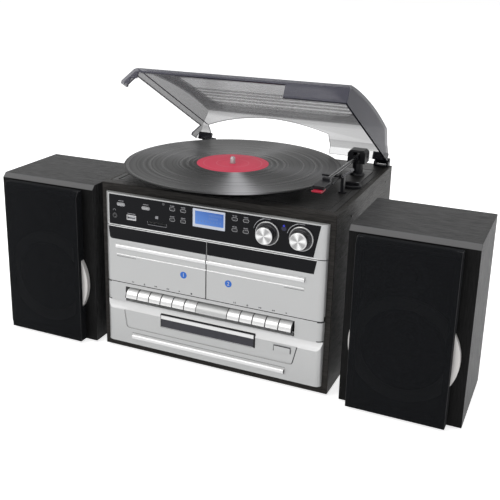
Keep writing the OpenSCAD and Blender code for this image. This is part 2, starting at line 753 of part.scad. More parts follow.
module front_sockets() color("#9a9b9d") placed() {
    difference() {
        rod_y(jack_x, socket_z, jack_r + 1.8, window_front - 0.5, board_y);
        rod_y(jack_x, socket_z, jack_r, window_front - 1, board_y - 4);
    }
    difference() {
        span([usb_x - usb_w / 2 - 0.8, window_front - 0.2, socket_z - usb_h / 2 - 0.8],
            [usb_x + usb_w / 2 + 0.8, board_y, socket_z + usb_h / 2 + 0.8]);
        span([usb_x - usb_w / 2, window_front - 1, socket_z - usb_h / 2],
            [usb_x + usb_w / 2, board_y - 4, socket_z + usb_h / 2]);
    }
}

module circuit_boards() color("#2c5a36") placed() {
    span([-inner_half + 6, board_y, radio_low + 4], [inner_half - 6, board_y + board_t, fascia_top - 8]);
    span([eject_x - eject_w / 2 - 8, board_y, eject_z - 12],
        [eject_x + eject_w / 2 + 8, board_y + board_t, eject_z + eject_h + 8]);
    post_h = 8;
    main_w = case_w * 0.4;
    main_d = case_d * 0.3 - 1;
    translate([9 - inner_half, case_d - main_d - 20, base_t]) {
        for (x = [6, main_w - 6], y = [4, main_d - 4]) translate([x, y, 0]) cylinder(r = 3, h = post_h);
        translate([0, 0, post_h]) cube([main_w, main_d, board_t]);
        translate([16, 16, post_h + board_t]) cube([18, main_d - 34, 26]);
        for (i = [0 : 3]) translate([46 + i * 18, 30, post_h + board_t]) cylinder(r = 6, h = 20);
    }
}

module transformer() color("#5b5148") placed() translate([inner_half - 95, case_d - 96, base_t]) {
    cube([66, 56, 3]);
    translate([8, 8, 3]) cube([50, 40, 42]);
    for (y = [2, 48]) translate([16, y, 8]) cube([34, 6, 32]);
}

// Two moulded wells behind the doors, with the reel hubs, and the rod that carries the keys
module cassette_bays() color("#303136") placed() difference() {
    union() {
        span([-inner_half, carrier_t, door_low + 1], [inner_half, 34, radio_low - 1]);
        for (x = [-inner_half, -keys_x0 + keys_left * key_pitch + 6, keys_x1 - 12, inner_half - 6])
            span([x, carrier_t, key_low + 4], [x + 6, 34, door_low + 2]);
        rod_x(-inner_half, inner_half, key_rod_y, key_rod_z, key_rod_r);
    }
    for (side = [0, 1]) difference() {
        span([pocket_x(side) - pocket_w / 2 - 7, carrier_t - 1, door_low + 2],
            [pocket_x(side) + pocket_w / 2 + 7, pocket_d + 10, radio_low - 3]);
        for (s = [-1, 1]) rod_y(pocket_x(side) + s * 21.3, door_low + 34, 4.5, pocket_d + 2.5, pocket_d + 12);
        span([pocket_x(side) - 24, pocket_d + 4, radio_low - 14],
            [pocket_x(side) + 24, pocket_d + 12, radio_low - 2]);
    }
}

module turntable_motor() color("#77787a") placed() {
    translate([pulley_x, pulley_y, deck_top - plate_t - motor_h]) cylinder(r = motor_r, h = motor_h);
}

module motor_pulley() color("#c9a24a") placed() translate([pulley_x, pulley_y, 0]) {
    translate([0, 0, deck_top - plate_t + 0.3]) cylinder(r = 1.5, h = belt_z - deck_top + plate_t);
    translate([0, 0, belt_z - 0.8]) rotate_extrude() polygon([[0, 0], [pulley_r + 1, 0], [pulley_r, 0.6],
        [pulley_r, belt_h + 1], [pulley_r + 1, belt_h + 1.6], [0, belt_h + 1.6]]);
}

// The belt runs straight between the rim and the pulley, on the side where both are tangent
module belt_outline(grow) hull() {
    translate([-deck_x, deck_y]) circle(r = drive_r + grow, $fn = 72);
    translate([pulley_x, pulley_y]) circle(r = pulley_r + grow, $fn = 24);
}
module drive_belt() color("#141414") placed() translate([0, 0, belt_z]) linear_extrude(belt_h) difference() {
    belt_outline(belt_t);
    belt_outline(belt_slip);
}

// Platter with its hub and drive rim, the mat on it and the spindle
module platter() color("#4b4c4e") placed() translate([-deck_x, deck_y, 0]) {
    difference() {
        rotate_extrude($fn = 96) polygon([[spindle_r, platter_low - 0.7], [12, platter_low - 0.7],
            [12, platter_top - platter_skin], [drive_r - 3, platter_top - platter_skin],
            [drive_r - 3, platter_low + 0.5], [drive_r, platter_low + 0.5],
            [drive_r, platter_top - platter_skin], [platter_r - 3, platter_top - platter_skin],
            [platter_r - 3, platter_low], [platter_r, platter_low],
            [platter_r, platter_top], [spindle_r, platter_top]]);
    }
    difference() {
        translate([0, 0, platter_top]) cylinder(r = platter_r - 1, h = mat_t, $fn = 96);
        translate([0, 0, platter_top - 1]) cylinder(r = spindle_r + 0.3, h = mat_t + 2);
    }
    rotate_extrude() polygon([[0, bearing_low + 3.3], [spindle_r, bearing_low + 3.3],
        [spindle_r, record_top + spindle_top - 2], [spindle_r - 1.4, record_top + spindle_top],
        [0, record_top + spindle_top]]);
}

module record() color("#2b2b2b") placed() translate([-deck_x, deck_y, record_low]) rotate_extrude($fn = 128)
    polygon([[spindle_r + 0.08, 0], [label_r + 2, 0], [label_r + 6, 0.3], [record_r - 6, 0.3],
        [record_r - 2, 0], [record_r - 0.6, 0.2], [record_r, record_t / 2], [record_r - 0.6, record_t - 0.2],
        [record_r - 2, record_t], [record_r - 6, record_t - 0.3], [label_r + 6, record_t - 0.3],
        [label_r + 2, record_t],
        [spindle_r + 0.08, record_t]]);

module tonearm_base() color("#1b1c20") placed() translate([arm_x, arm_y, 0]) {
    difference() {
        union() {
            translate([0, 0, deck_top]) cylinder(r1 = base_r, r2 = base_r - 1.5, h = 3);
            translate([0, 0, post_low]) cylinder(r = post_r + 2.2, h = yoke_low - rest_clear - post_low);
        }
        translate([0, 0, post_low - 1]) cylinder(r = post_r / 2 + fit_gap, h = 80);
    }
}

// The part that swings: shaft, table and the two cheeks with the cap over them
module tonearm_yoke() color("#1b1c20") placed() translate([arm_x, arm_y, 0]) {
    cheek_w = 4;
    difference() {
        union() {
            translate([0, 0, post_low]) cylinder(r = post_r / 2, h = yoke_low - post_low + 1);
            translate([0, 0, yoke_low]) cylinder(r = cap_w / 2 - 1, h = 2);
            span([-cap_w / 2, -cap_d / 2, yoke_low], [cap_w / 2, cap_d / 2, cap_z - 4]);
            translate([0, cap_d / 2 - 2, 0]) rotate([90, 0, 0]) linear_extrude(cap_d - 4)
                polygon([[-cap_w / 2, cap_z - 4], [cap_w / 2, cap_z - 4], [cap_w / 2 - 3, cap_z],
                    [-cap_w / 2 + 3, cap_z]]);
        }
        span([-cap_w / 2 + cheek_w, -cap_d, yoke_low + 2], [cap_w / 2 - cheek_w, cap_d, cap_z - 3]);
        rod_x(-cap_w, cap_w, 0, arm_axis_z, pin_r + fit_gap);
    }
}

// The part that lifts: pin, tube and counterweight
module tonearm() color("#2a2b2f") placed() translate([arm_x, arm_y, arm_axis_z]) {
    rod_x(-cap_w / 2 + 0.6, cap_w / 2 - 0.6, 0, 0, pin_r);
    rod_y(0, 0, arm_r, -arm_len + shell_len - 4, 5);
    rod_y(0, 0, 4.6, -6, 5.5);
}

module headshell() color("#17181b") placed() translate([arm_x, tip_y, 0]) {
    top = arm_axis_z + 1;
    difference() {
        union() {
            span([-shell_w / 2, -8, arm_axis_z - 3.4], [shell_w / 2, shell_len - 12, top]);
            translate([0, shell_len - 12, arm_axis_z - 1.2]) rotate([90, 0, 180]) linear_extrude(8)
                polygon([[-5, -2.2], [5, -2.2], [5, 5], [-5, 5]]);
        }
        rod_y(0, arm_axis_z, arm_r + 0.02, shell_len - 10.5, shell_len + 2);
    }
    span([-5, -5, tip_z + 1.4], [5, 13, arm_axis_z - 3.4]);
    translate([0, 0, tip_z]) cylinder(r1 = 0.4, r2 = 1.2, h = 1.5);
    span([-8.5, -9.6, arm_axis_z - 3.2], [-6.5, -7, top - 0.4]);
}

module arm_rest() color("#1b1c20") placed() {
    x = arm_x + arm_r + 1.4;
    right = clip_x + 1;
    span([right - rest_w, rest_y - 4, deck_top], [right, rest_y + 4, shelf_z]);
    span([arm_x - 20, rest_y - 2, shelf_z - 2.2], [right, rest_y + 2, shelf_z]);
    span([x, rest_y - 4, shelf_z - 2.2], [x + 2, rest_y + 4, clip_z + 1.3]);
    rod_y(clip_x, clip_z, clip_pin_r, rest_y - 6, rest_y + 6);
    span([clip_x - 1, rest_y - 4, shelf_z - 2], [clip_x + 1, rest_y + 4, clip_z]);
    translate([right - rest_w / 2, rest_y, deck_top]) cylinder(r = 5.5, h = 1.5);
}

// Latch beside the rest, standing open: it turns over the arm on a pin along the arm
module arm_clip() color("#a6a7a9") placed() translate([clip_x, rest_y, clip_z]) rotate([0, clip_open, 0])
difference() {
    union() {
        for (y = [-6.5, 4.3]) translate([0, y + 2.2, 0]) rotate([90, 0, 0]) cylinder(r = 2, h = 2.2);
        span([-0.8, -clip_half, 1.2], [0.8, clip_half, 4.6]);
        for (y = [-6.5, 4.3]) span([-0.8, y, 0], [0.8, y + 2.2, 2]);
        span([-0.8, -6, 4], [0.8, 6, 12]);
        span([-2.8, -6, 12], [0.8, 6, 13.4]);
    }
    rod_y(0, 0, clip_pin_r + fit_gap, -20, 20);
}

module speed_dial() color("#1d1e22") placed() translate([dial_x, dial_y, 0]) difference() {
    union() {
        translate([0, 0, deck_top + 0.3]) rotate_extrude() polygon([[0, 0], [dial_r, 0], [dial_r, 3],
            [dial_r - 1, 4], [dial_r - 4, 4.2], [dial_r - 5, dial_h - 1], [dial_r - 6, dial_h], [0, dial_h]]);
        translate([0, 0, deck_top - 14]) cylinder(r = shaft_r, h = 15);
    }
    translate([-0.6, 3, deck_top + dial_h - 0.4]) cube([1.2, dial_r - 8, 2]);
}

module hinge_brackets() color("#17181b") placed() for (x = hinge_x) translate([x, lid_pivot_y, 0]) {
    z = lid_pivot_h;
    for (s = [-1, 1]) difference() {
        union() {
            span([s * (hinge_w / 2 - 1.6) - 1.4, -9, deck_top], [s * (hinge_w / 2 - 1.6) + 1.4, 3, z]);
            rod_x(s * (hinge_w / 2 - 1.6) - 1.4, s * (hinge_w / 2 - 1.6) + 1.4, 0, z, knuckle_r);
        }
    }
    span([-hinge_w / 2 + 0.2, -9, deck_top], [hinge_w / 2 - 0.2, 3, deck_top + 1.4]);
    rod_x(-hinge_w / 2 + 1, hinge_w / 2 - 1, 0, z, pin_r);
}

// Turns a piece made in the lid's own frame to where the open lid stands
module on_lid() translate([0, lid_pivot_y, lid_pivot_h]) rotate([-lid_open, 0, 0]) children();

module hinge_leaves() color("#17181b") placed() on_lid() for (x = hinge_x) {
    knuckle_w = hinge_w - 6.6;
    difference() {
        union() {
            rod_x(x - knuckle_w / 2, x + knuckle_w / 2, 0, 0, knuckle_r);
            span([x - knuckle_w / 2, -lid_rear, -2.5], [x + knuckle_w / 2, 0, 3.5]);
            span([x - hinge_w / 2, -lid_rear, lid_rim + 0.5], [x + hinge_w / 2, -lid_rear + 5, leaf_top]);
        }
        rod_x(x - hinge_w, x + hinge_w, 0, 0, pin_r + fit_gap);
    }
}

// Side outline of the lid: forward distance and height, set in by a wall thickness
function lid_side(t) = concat([[lid_len - t, lid_rim - (t > 0 ? 1 : 0)], [lid_len - t, lid_front_h - 3 - t],
    [lid_len - 3 - t, lid_front_h - t]],
    [for (i = [1 : 11]) let (v = lid_len - 3 - t - (lid_len - 59 - 2 * t) * i / 11)
        [v, crown(v) - t]],
    [[49 + t, crown(56) - 4 - t], [33 + t, 15 - t / 2], [26 + t, 12 - t / 2], [lid_rear + t, leaf_top - t / 2],
    [lid_rear + t, lid_rim - (t > 0 ? 1 : 0)]]);
function crown(v) = lid_crown_h - (lid_crown_h - lid_front_h) * pow((v - crown_at) / (lid_len - crown_at), 2);

module lid_hull(t) rotate([90, 0, 90]) translate([0, 0, -lid_left + t])
    linear_extrude(lid_left + lid_right - 2 * t) polygon([for (p = lid_side(t)) [-p[0], p[1]]]);

// The left wall leans in from the rim to the top
module left_cut(t) rotate([90, 0, 0]) translate([0, 0, -60]) linear_extrude(lid_len + 100) {
    x = -lid_left + t;
    polygon([[x - 60, -60], [x, -60], [x, 0], [x + left_slope, 22], [x + left_slope + 30, 56.7], [x - 60, 57]]);
}

module lid() color([0.56, 0.56, 0.6, 0.45]) placed() on_lid() difference() {
    lid_shape(0);
    lid_shape(lid_t);
    lid_cut_outs();
}

module lid_shape(t) difference() {
    lid_hull(t);
    left_cut(t * 1.35);
}

// Room for a record that is wider than the case: at the left, along the front and an arch behind
module lid_cut_outs() {
    span([-lid_left - 5, -lid_len + 15, lid_rim - 2], [-lid_left + 30, -lid_rear - 18, lid_skirt]);
    span([-lid_left + 22, -lid_len - 5, lid_rim - 2], [lid_right - 80.5, -lid_len + 12, lid_skirt]);
    span([-lid_left + 12, -lid_len - 5, lid_rim - 2], [-lid_left + 23, -lid_len + 12, 5]);
    arch_x0 = -lid_left + 25;
    arch_x1 = lid_right - 87;
    rise = 13;
    translate([0, -10, 0]) rotate([90, 0, 0]) linear_extrude(60) polygon(concat(
        [[arch_x0, lid_rim - 2], [arch_x0, 16]],
        [for (i = [1 : 11]) let (u = i / 12)
            [arch_x0 + (arch_x1 - arch_x0) * u, 16 + 4 * u + rise * 4 * u * (1 - u)]],
        [[arch_x1, 20], [arch_x1, lid_rim - 2]]));
}

// A loudspeaker's box, placed by its front lower left corner
module speaker_box() difference() {
    rotate([90, 0, 90]) linear_extrude(spk_w) polygon([[0, 0], [spk_d, 0], [spk_d, spk_h], [spk_slope, spk_h],
        [0, spk_h - spk_slope]]);
    span([spk_t, spk_t, spk_t], [spk_w - spk_t, spk_d - spk_t, spk_h - spk_t]);
    rod_y(driver_x, woofer_z, baffle_hole, -1, spk_t + 1);
    rod_y(driver_x, tweeter_z, tweeter_r - 4, -1, spk_t + 1);
    rod_y(spk_w / 2, 60, 16, spk_d - spk_t - 1, spk_d + 1);
}
// Puts a piece at each loudspeaker
module at_speakers() for (x = [left_x, right_x - spk_w]) translate([x, -spk_fwd, 0]) children();

module speaker_cabinets() color("#4c4c4c") placed() at_speakers() speaker_box();

module speaker_grilles() color("#1c1d1f") placed() at_speakers() difference() {
    rim = 8;
    union() {
        translate([0, -grille_pad, 0]) grille_shape();
        for (x = [grille_x + 5, grille_x + grille_w - 5], z = [10, grille_top - 14])
            rod_y(x, z, 2, -3, 0);
    }
    span([grille_x + rim, -grille_t + 1.6, rim], [grille_x + grille_w - rim, 1, grille_top - rim]);
    rod_y(driver_x, woofer_z, ring_r + 0.6, -ring_h - 1.2, 1);
}

// The grille frame has a sloping upper edge
module grille_shape() translate([grille_x, 0, 0]) rotate([90, 0, 90]) linear_extrude(grille_w)
    polygon([[-grille_t, 0.5], [0, 0.5], [0, grille_top], [-grille_t + 5, grille_top],
        [-grille_t, grille_top - 8]]);

// Woofer and tweeter with the silver ring, and the terminal cup on the back
module speaker_drivers() color("#b4b5b7") placed() at_speakers() {
    translate([driver_x, 0, woofer_z]) rotate([90, 0, 0]) rotate_extrude($fn = 96) polygon([[ring_r, 0],
        [ring_r, ring_h - 1.5], [ring_r - 1.5, ring_h], [ring_r - 7, ring_h], [woofer_r + 6, ring_h - 4],
        [woofer_r, 3], [woofer_r - 6, 4.5], [woofer_r - 12, 0], [15, -14], [12, -10], [0, -7], [0, -52],
        [26, -52], [26, -34], [18, -30], [woofer_r - 8, -9], [woofer_r + 1, -3], [woofer_r + 2, 0]]);
    translate([driver_x, 0, tweeter_z]) rotate([90, 0, 0]) rotate_extrude() polygon([[tweeter_r, 0],
        [tweeter_r, 2.5], [tweeter_r - 8, 3], [tweeter_r - 12, 1.5], [9, 4], [0, 6], [0, -16],
        [tweeter_r - 6, -16], [tweeter_r - 6, 0]]);
    translate([spk_w / 2, spk_d - 6, 60]) rotate([-90, 0, 0]) difference() {
        union() {
            cylinder(r = 15.8, h = 6);
            translate([0, 0, 6]) cylinder(r = 21, h = 1.6);
        }
        for (s = [-1, 1]) translate([s * 8, 0, 2]) cylinder(r = 3, h = 8);
    }
}

cabinet();
rear_panel();
deck_plate();
rubber_feet();
panel_screws();
front_fascia();
radio_window();
lcd_display();
disc_fascia();
circuit_boards();
transformer();
cassette_bays();
disc_mechanism();
rear_sockets();
front_sockets();
turntable_motor();
tonearm_base();
arm_rest();
arm_clip();
hinge_brackets();
door_left();
door_right();
left_key(0);  // key_left_1
left_key(1);  // key_left_2
left_key(2);  // key_left_3
left_key(3);  // key_left_4
left_key(4);  // key_left_5
left_key(5);  // key_left_6
right_key(0);  // key_right_1
right_key(1);  // key_right_2
right_key(2);  // key_right_3
right_key(3);  // key_right_4
right_key(4);  // key_right_5
disc_tray();
eject_button();
power_button();
source_button();
small_button(0);  // button_1
small_button(1);  // button_2
small_button(2);  // button_3
small_button(3);  // button_4
small_button(4);  // button_5
small_button(5);  // button_6
small_button(6);  // button_7
small_button(7);  // button_8
volume_knob();
tuning_knob();
platter();
record();
motor_pulley();
drive_belt();
tonearm_yoke();
tonearm();
headshell();
speed_dial();
lid();
hinge_leaves();
speaker_cabinets();
speaker_grilles();
speaker_drivers();
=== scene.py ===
"""Looks of a stereo music centre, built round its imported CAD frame.

Sizes are in millimetres, in the case's own frame: X from the middle of the case, Y from its
front face to the back and Z from its underside. Site turns them into the frame's metres.
"""

import logging
from dataclasses import dataclass
from enum import Enum
from functools import cache
from math import cos, pi, radians, sin, sqrt
from typing import Iterable, Optional, Sequence

import bmesh
import bpy
from mathutils import Matrix, Vector
from mathutils.bvhtree import BVHTree


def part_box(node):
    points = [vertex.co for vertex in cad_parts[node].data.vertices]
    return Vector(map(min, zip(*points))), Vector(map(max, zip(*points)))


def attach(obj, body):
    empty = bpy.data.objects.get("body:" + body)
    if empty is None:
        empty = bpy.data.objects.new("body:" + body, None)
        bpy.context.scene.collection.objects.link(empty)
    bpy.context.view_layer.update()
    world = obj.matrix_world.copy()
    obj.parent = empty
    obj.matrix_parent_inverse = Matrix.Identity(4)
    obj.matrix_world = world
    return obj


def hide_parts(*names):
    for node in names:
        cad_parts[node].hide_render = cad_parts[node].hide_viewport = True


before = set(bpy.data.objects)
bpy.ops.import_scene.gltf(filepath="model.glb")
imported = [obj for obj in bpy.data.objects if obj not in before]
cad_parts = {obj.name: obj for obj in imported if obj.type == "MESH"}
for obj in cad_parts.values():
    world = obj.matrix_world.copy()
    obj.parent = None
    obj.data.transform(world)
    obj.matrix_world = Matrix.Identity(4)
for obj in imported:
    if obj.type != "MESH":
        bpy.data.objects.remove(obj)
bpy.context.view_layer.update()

log = logging.getLogger("music_centre")
MM = 0.001
FULL_TURN = 6.2832
# Front faces of the silver moulding and of the black window, along Y
FRONT = -7.0
WINDOW = -6.7
# Half the width of the moulding, less the play at its ends
HALF_FRONT = 157.3

Point = tuple[float, float, float]
Pair = tuple[float, float]
Colour = tuple[float, float, float]
Corners = tuple[float, float, float, float]
BMesh = bmesh.types.BMesh
Mesh = bpy.types.Mesh
Obj = bpy.types.Object
Node = bpy.types.Node
Tree = bpy.types.NodeTree
Socket = bpy.types.NodeSocket
Value = Socket | float | int | Sequence[float]


class Axis(Enum):
    """Direction along which a turned or extruded piece is built."""

    X = "x"
    Y = "y"
    Z = "z"


class Body(Enum):
    """CAD bodies that the dressed pieces ride on."""

    CASE = "case"
    LID = "lid"
    PLATTER = "platter"
    YOKE = "tonearm_yoke"
    ARM = "tonearm"
    CLIP = "arm_clip"
    DIAL = "speed_dial"
    DOOR_LEFT = "door_left"
    DOOR_RIGHT = "door_right"
    TRAY = "disc_tray"
    EJECT = "eject_button"


@dataclass(frozen=True)
class Site:
    """Place of the case in the frame.

    Args:
        x: Middle of the case along X, in metres.
        y: Front face of the case, in metres.
        z: Underside of the case, in metres.
    """

    x: float
    y: float
    z: float

    @classmethod
    def from_frame(cls) -> "Site":
        """Reads the place from the CAD cabinet."""
        low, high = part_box("cabinet")
        return cls((low.x + high.x) / 2, low.y, low.z)

    def at(self, x: float, y: float, z: float) -> Vector:
        """Turns millimetres in the case's frame into metres in the shared frame."""
        return Vector((self.x + x * MM, self.y + y * MM, self.z + z * MM))

    def matrix(self) -> Matrix:
        """Transform from the case's millimetres to the frame's metres."""
        return Matrix.Translation((self.x, self.y, self.z)) @ Matrix.Scale(MM, 4)


SITE = Site.from_frame()


# Meshes


def store(bm: BMesh, mesh: Mesh, sharp: float) -> Mesh:
    """Writes a bmesh into a mesh, frees it and shades the mesh smooth up to an angle in degrees."""
    bm.to_mesh(mesh)
    bm.free()
    mesh.polygons.foreach_set("use_smooth", [True] * len(mesh.polygons))
    mesh.set_sharp_from_angle(angle=radians(sharp))
    return mesh


def mesh_of(bm: BMesh, name: str, sharp: float = 35.0) -> Mesh:
    """Turns a bmesh in case millimetres into a mesh in frame metres, with its faces outwards."""
    bmesh.ops.remove_doubles(bm, verts=bm.verts, dist=1e-4)
    bmesh.ops.recalc_face_normals(bm, faces=bm.faces)
    bm.transform(SITE.matrix())
    return store(bm, bpy.data.meshes.new(name), sharp)


def copied(node: str) -> tuple[Mesh, BMesh]:
    """Copies a CAD node's mesh and joins its loose triangles in a bmesh."""
    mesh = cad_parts[node].data.copy()
    bm = bmesh.new()
    bm.from_mesh(mesh)
    bmesh.ops.remove_doubles(bm, verts=bm.verts, dist=2e-6)
    return mesh, bm


def spot(u: float, v: float, h: float, axis: Axis) -> Vector:
    """Places a point given across and along an axis."""
    return Vector({Axis.X: (h, u, v), Axis.Y: (u, h, v), Axis.Z: (u, v, h)}[axis])


def bridge(bm: BMesh, loops: Sequence[Sequence[bmesh.types.BMVert]], closed: bool = False) -> None:
    """Joins loops of one length by faces, and the last one to the first if they are closed."""
    for a, b in zip(loops, loops[1:] + loops[:1] if closed else loops[1:]):
        for i in range(len(a)):
            j = (i + 1) % len(a)
            bm.faces.new((a[i], a[j], b[j], b[i]))


def lathe(bm: BMesh, profile: Sequence[Pair], centre: Point, axis: Axis, steps: int = 64) -> None:
    """Adds a turned shape.

    Args:
        bm: Target.
        profile: (radius, height) pairs from one pole or rim to the other. On Axis.Y the height
            grows towards the front.
        centre: Point of the axis at height 0.
        axis: Direction of the axis.
        steps: Number of faces round the axis.
    """
    base = Vector(centre)
    loops = []
    for radius, height in profile:
        along = -height if axis is Axis.Y else height
        turns = [2 * pi * i / steps for i in range(steps if radius > 1e-6 else 1)]
        loops.append([bm.verts.new(base + spot(radius * cos(t), radius * sin(t), along, axis))
                      for t in turns])
    for low, high in zip(loops, loops[1:]):
        for i in range(steps):
            j = (i + 1) % steps
            if len(low) == 1 and len(high) == 1:
                break
            if len(low) == 1:
                bm.faces.new((low[0], high[j], high[i]))
            elif len(high) == 1:
                bm.faces.new((low[i], low[j], high[0]))
            else:
                bm.faces.new((low[i], low[j], high[j], high[i]))


def prism(bm: BMesh, outline: Sequence[Pair], start: float, end: float, axis: Axis) -> None:
    """Adds an extruded outline, closed at both ends.

    Args:
        bm: Target.
        outline: Points across the axis: (y, z) on X, (x, z) on Y and (x, y) on Z.
        start: Where the extrusion starts along the axis.
        end: Where it ends.
        axis: Direction of the extrusion.
    """
    low, high = ([bm.verts.new(spot(*p, h, axis)) for p in outline] for h in (start, end))
    bm.faces.new(low[::-1])
    bm.faces.new(high)
    bridge(bm, [low, high])


def bar(x0: float, z0: float, x1: float, z1: float) -> list[Pair]:
    """Outline of a rectangle."""
    return [(x0, z0), (x1, z0), (x1, z1), (x0, z1)]


def arc(cx: float, cy: float, r: float, start: float, end: float, steps: int) -> list[Pair]:
    """Points on an arc, with angles in degrees."""
    turns = [radians(start + (end - start) * i / steps) for i in range(steps + 1)]
    return [(cx + r * cos(t), cy + r * sin(t)) for t in turns]


def rounded(x0: float, z0: float, x1: float, z1: float, r: float, steps: int = 5) -> list[Pair]:
    """Outline of a rectangle with round corners."""
    return (arc(x1 - r, z1 - r, r, 0, 90, steps) + arc(x0 + r, z1 - r, r, 90, 180, steps)
            + arc(x0 + r, z0 + r, r, 180, 270, steps) + arc(x1 - r, z0 + r, r, 270, 360, steps))


def pill(x: float, z: float, w: float, h: float, steps: int = 10) -> list[Pair]:
    """Outline of a bar with round ends."""
    return rounded(x - w / 2, z - h / 2, x + w / 2, z + h / 2, h / 2 - 1e-3, steps)


def rib(level: float, radius: float, proud: float) -> list[Pair]:
    """Side outline of a round rib that lies on the moulding's front."""
    r = radius + proud
    curve = [(FRONT - r * cos(radians(a)), level + r * sin(radians(a))) for a in range(-78, 79, 12)]
    return curve + [(FRONT + 0.2, level + radius), (FRONT + 0.2, level - radius)]


def path_strip(points: Sequence[Pair], width: float) -> list[Pair]:
    """Outline of a line of even width along a few points."""
    left, right = [], []
    for i, (x, z) in enumerate(points):
        a = points[max(0, i - 1)]
        b = points[min(len(points) - 1, i + 1)]
        dx, dz = b[0] - a[0], b[1] - a[1]
        far = sqrt(dx * dx + dz * dz) or 1.0
        nx, nz = -dz / far * width / 2, dx / far * width / 2
        left.append((x + nx, z + nz))
        right.append((x - nx, z - nz))
    return left + right[::-1]


def wrap_round(bm: BMesh, half: float = 157.5, width: float = 9.0, deep: float = 7.0) -> None:
    """Bends a thin plate that lies on the moulding's front back over its rounded ends.

    Args:
        bm: The plate.
        half: Half the moulding's width.
        width: Width of the rounding.
        deep: Depth of the rounding.
    """
    for side in (-1, 1):
        for angle in range(0, 90, 10):
            x = side * (half - width * (1 - cos(radians(angle))))
            geom = bm.verts[:] + bm.edges[:] + bm.faces[:]
            bmesh.ops.bisect_plane(bm, geom=geom, plane_co=(x, 0, 0), plane_no=(1, 0, 0))
    for vert in bm.verts:
        share = (abs(vert.co.x) - (half - width)) / width
        if share > 0:
            vert.co.y += deep * (1 - sqrt(max(0.0, 1 - min(1.0, share) ** 2)))


def bake(obj: Obj) -> None:
    """Makes an object's modifiers part of its mesh and removes them."""
    bpy.context.view_layer.update()
    made = bpy.data.meshes.new_from_object(obj.evaluated_get(bpy.context.evaluated_depsgraph_get()))
    old = obj.data
    obj.modifiers.clear()
    obj.data = made
    bpy.data.meshes.remove(old)


# Node trees


class Wiring:
    """Adds nodes to a tree and joins them.

    Args:
        tree: Shader or Geometry Nodes tree.
    """

    def __init__(self, tree: Tree) -> None:
        self.tree = tree

    def feed(self, target: Socket, value: Value) -> None:
        """Links a socket to an input, or sets the input to a plain value."""
        if isinstance(value, Socket):
            self.tree.links.new(value, target)
        else:
            target.default_value = value

    def node(self, kind: str, inputs: Optional[dict[str | int, Value]] = None, **options: object) -> Node:
        """Adds a node, sets its options and then feeds its inputs."""
        made = self.tree.nodes.new(kind)
        for label, option in options.items():
            setattr(made, label, option)
        for key, value in (inputs or {}).items():
            self.feed(made.inputs[key], value)
        return made

    def math(self, operation: str, *values: Value) -> Socket:
        """Adds a step of arithmetic."""
        return self.node("ShaderNodeMath", dict(enumerate(values)), operation=operation).outputs[0]

    def vector(self, operation: str, *values: Value) -> Socket:
        """Adds a step of vector arithmetic."""
        made = self.node("ShaderNodeVectorMath", dict(enumerate(values)), operation=operation)
        return made.outputs["Value" if operation == "LENGTH" else "Vector"]

    def place(self) -> Socket:
        """Adds the Object coordinates."""
        return self.node("ShaderNodeTexCoord").outputs["Object"]

    def parts(self, value: Socket) -> bpy.types.NodeOutputs:
        """Takes a vector apart."""
        return self.node("ShaderNodeSeparateXYZ", {0: value}).outputs

    def noise(self, where: Socket, scale: Value, detail: float, **more: float) -> Socket:
        """Adds a noise texture."""
        inputs = {"Vector": where, "Scale": scale, "Detail": detail, **more}
        return self.node("ShaderNodeTexNoise", inputs).outputs["Fac"]

    def mix(self, factor: Value, a: Value, b: Value, kind: str = "RGBA", blend: str = "MIX") -> Socket:
        """Mixes two values of one kind by a factor from 0 to 1."""
        inputs = {"Factor": factor, "A": a, "B": b}
        return self.node("ShaderNodeMix", inputs, data_type=kind, blend_type=blend).outputs["Result"]

    def span(self, value: Socket, low: float, high: float, start: float = 0.0, end: float = 1.0) -> Socket:
        """Maps a value from start..end to low..high, held at the ends."""
        inputs = {"Value": value, "From Min": start, "From Max": end, "To Min": low, "To Max": high}
        return self.node("ShaderNodeMapRange", inputs).outputs[0]

    def seen_ray(self) -> Socket:
        """Value that is 1 for rays from the camera, mirrored rays and rays through glass."""
        path = self.node("ShaderNodeLightPath").outputs
        seen = self.math("MAXIMUM", path["Is Camera Ray"], path["Is Glossy Ray"])
        return self.math("MAXIMUM", seen, path["Is Transmission Ray"])


class Group(Wiring):
    """A node group under construction.

    Args:
        name: Name of the group.
        kind: Shader or Geometry.
        inputs: Kind of each input, or the start value of a number.
        outputs: Kind of each output.
    """

    def __init__(self, name: str, kind: str, inputs: dict[str, str | float], outputs: dict[str, str]) -> None:
        super().__init__(bpy.data.node_groups.new(name, kind + "NodeTree"))
        for way, sockets in (("OUTPUT", outputs), ("INPUT", inputs)):
            for label, what in sockets.items():
                number = isinstance(what, float)
                socket = self.tree.interface.new_socket(
                    name=label, in_out=way, socket_type="NodeSocket" + ("Float" if number else what))
                if number:
                    socket.default_value = what
        self.given = self.tree.nodes.new("NodeGroupInput").outputs
        self.result = self.tree.nodes.new("NodeGroupOutput").inputs

    def close(self, **values: Socket) -> Tree:
        """Feeds the outputs and returns the finished group."""
        for label, value in values.items():
            self.feed(self.result[label], value)
        return self.tree


# Shader groups, each made once


@cache
def speckle() -> Tree:
    """Fine moulded texture: a value round 0.5 and a height, by scale and contrast."""
    g = Group("speckle", "Shader", {"Scale": 900.0, "Contrast": 0.2}, {"Value": "Float", "Height": "Float"})
    place = g.place()
    fine = g.noise(place, g.given["Scale"], 3.0)
    both = g.math("MULTIPLY_ADD", g.noise(place, 14.0, 2.0), 0.4, fine)
    value = g.math("MULTIPLY_ADD", g.math("SUBTRACT", both, 0.7), g.given["Contrast"], 0.5)
    return g.close(Value=value, Height=fine)


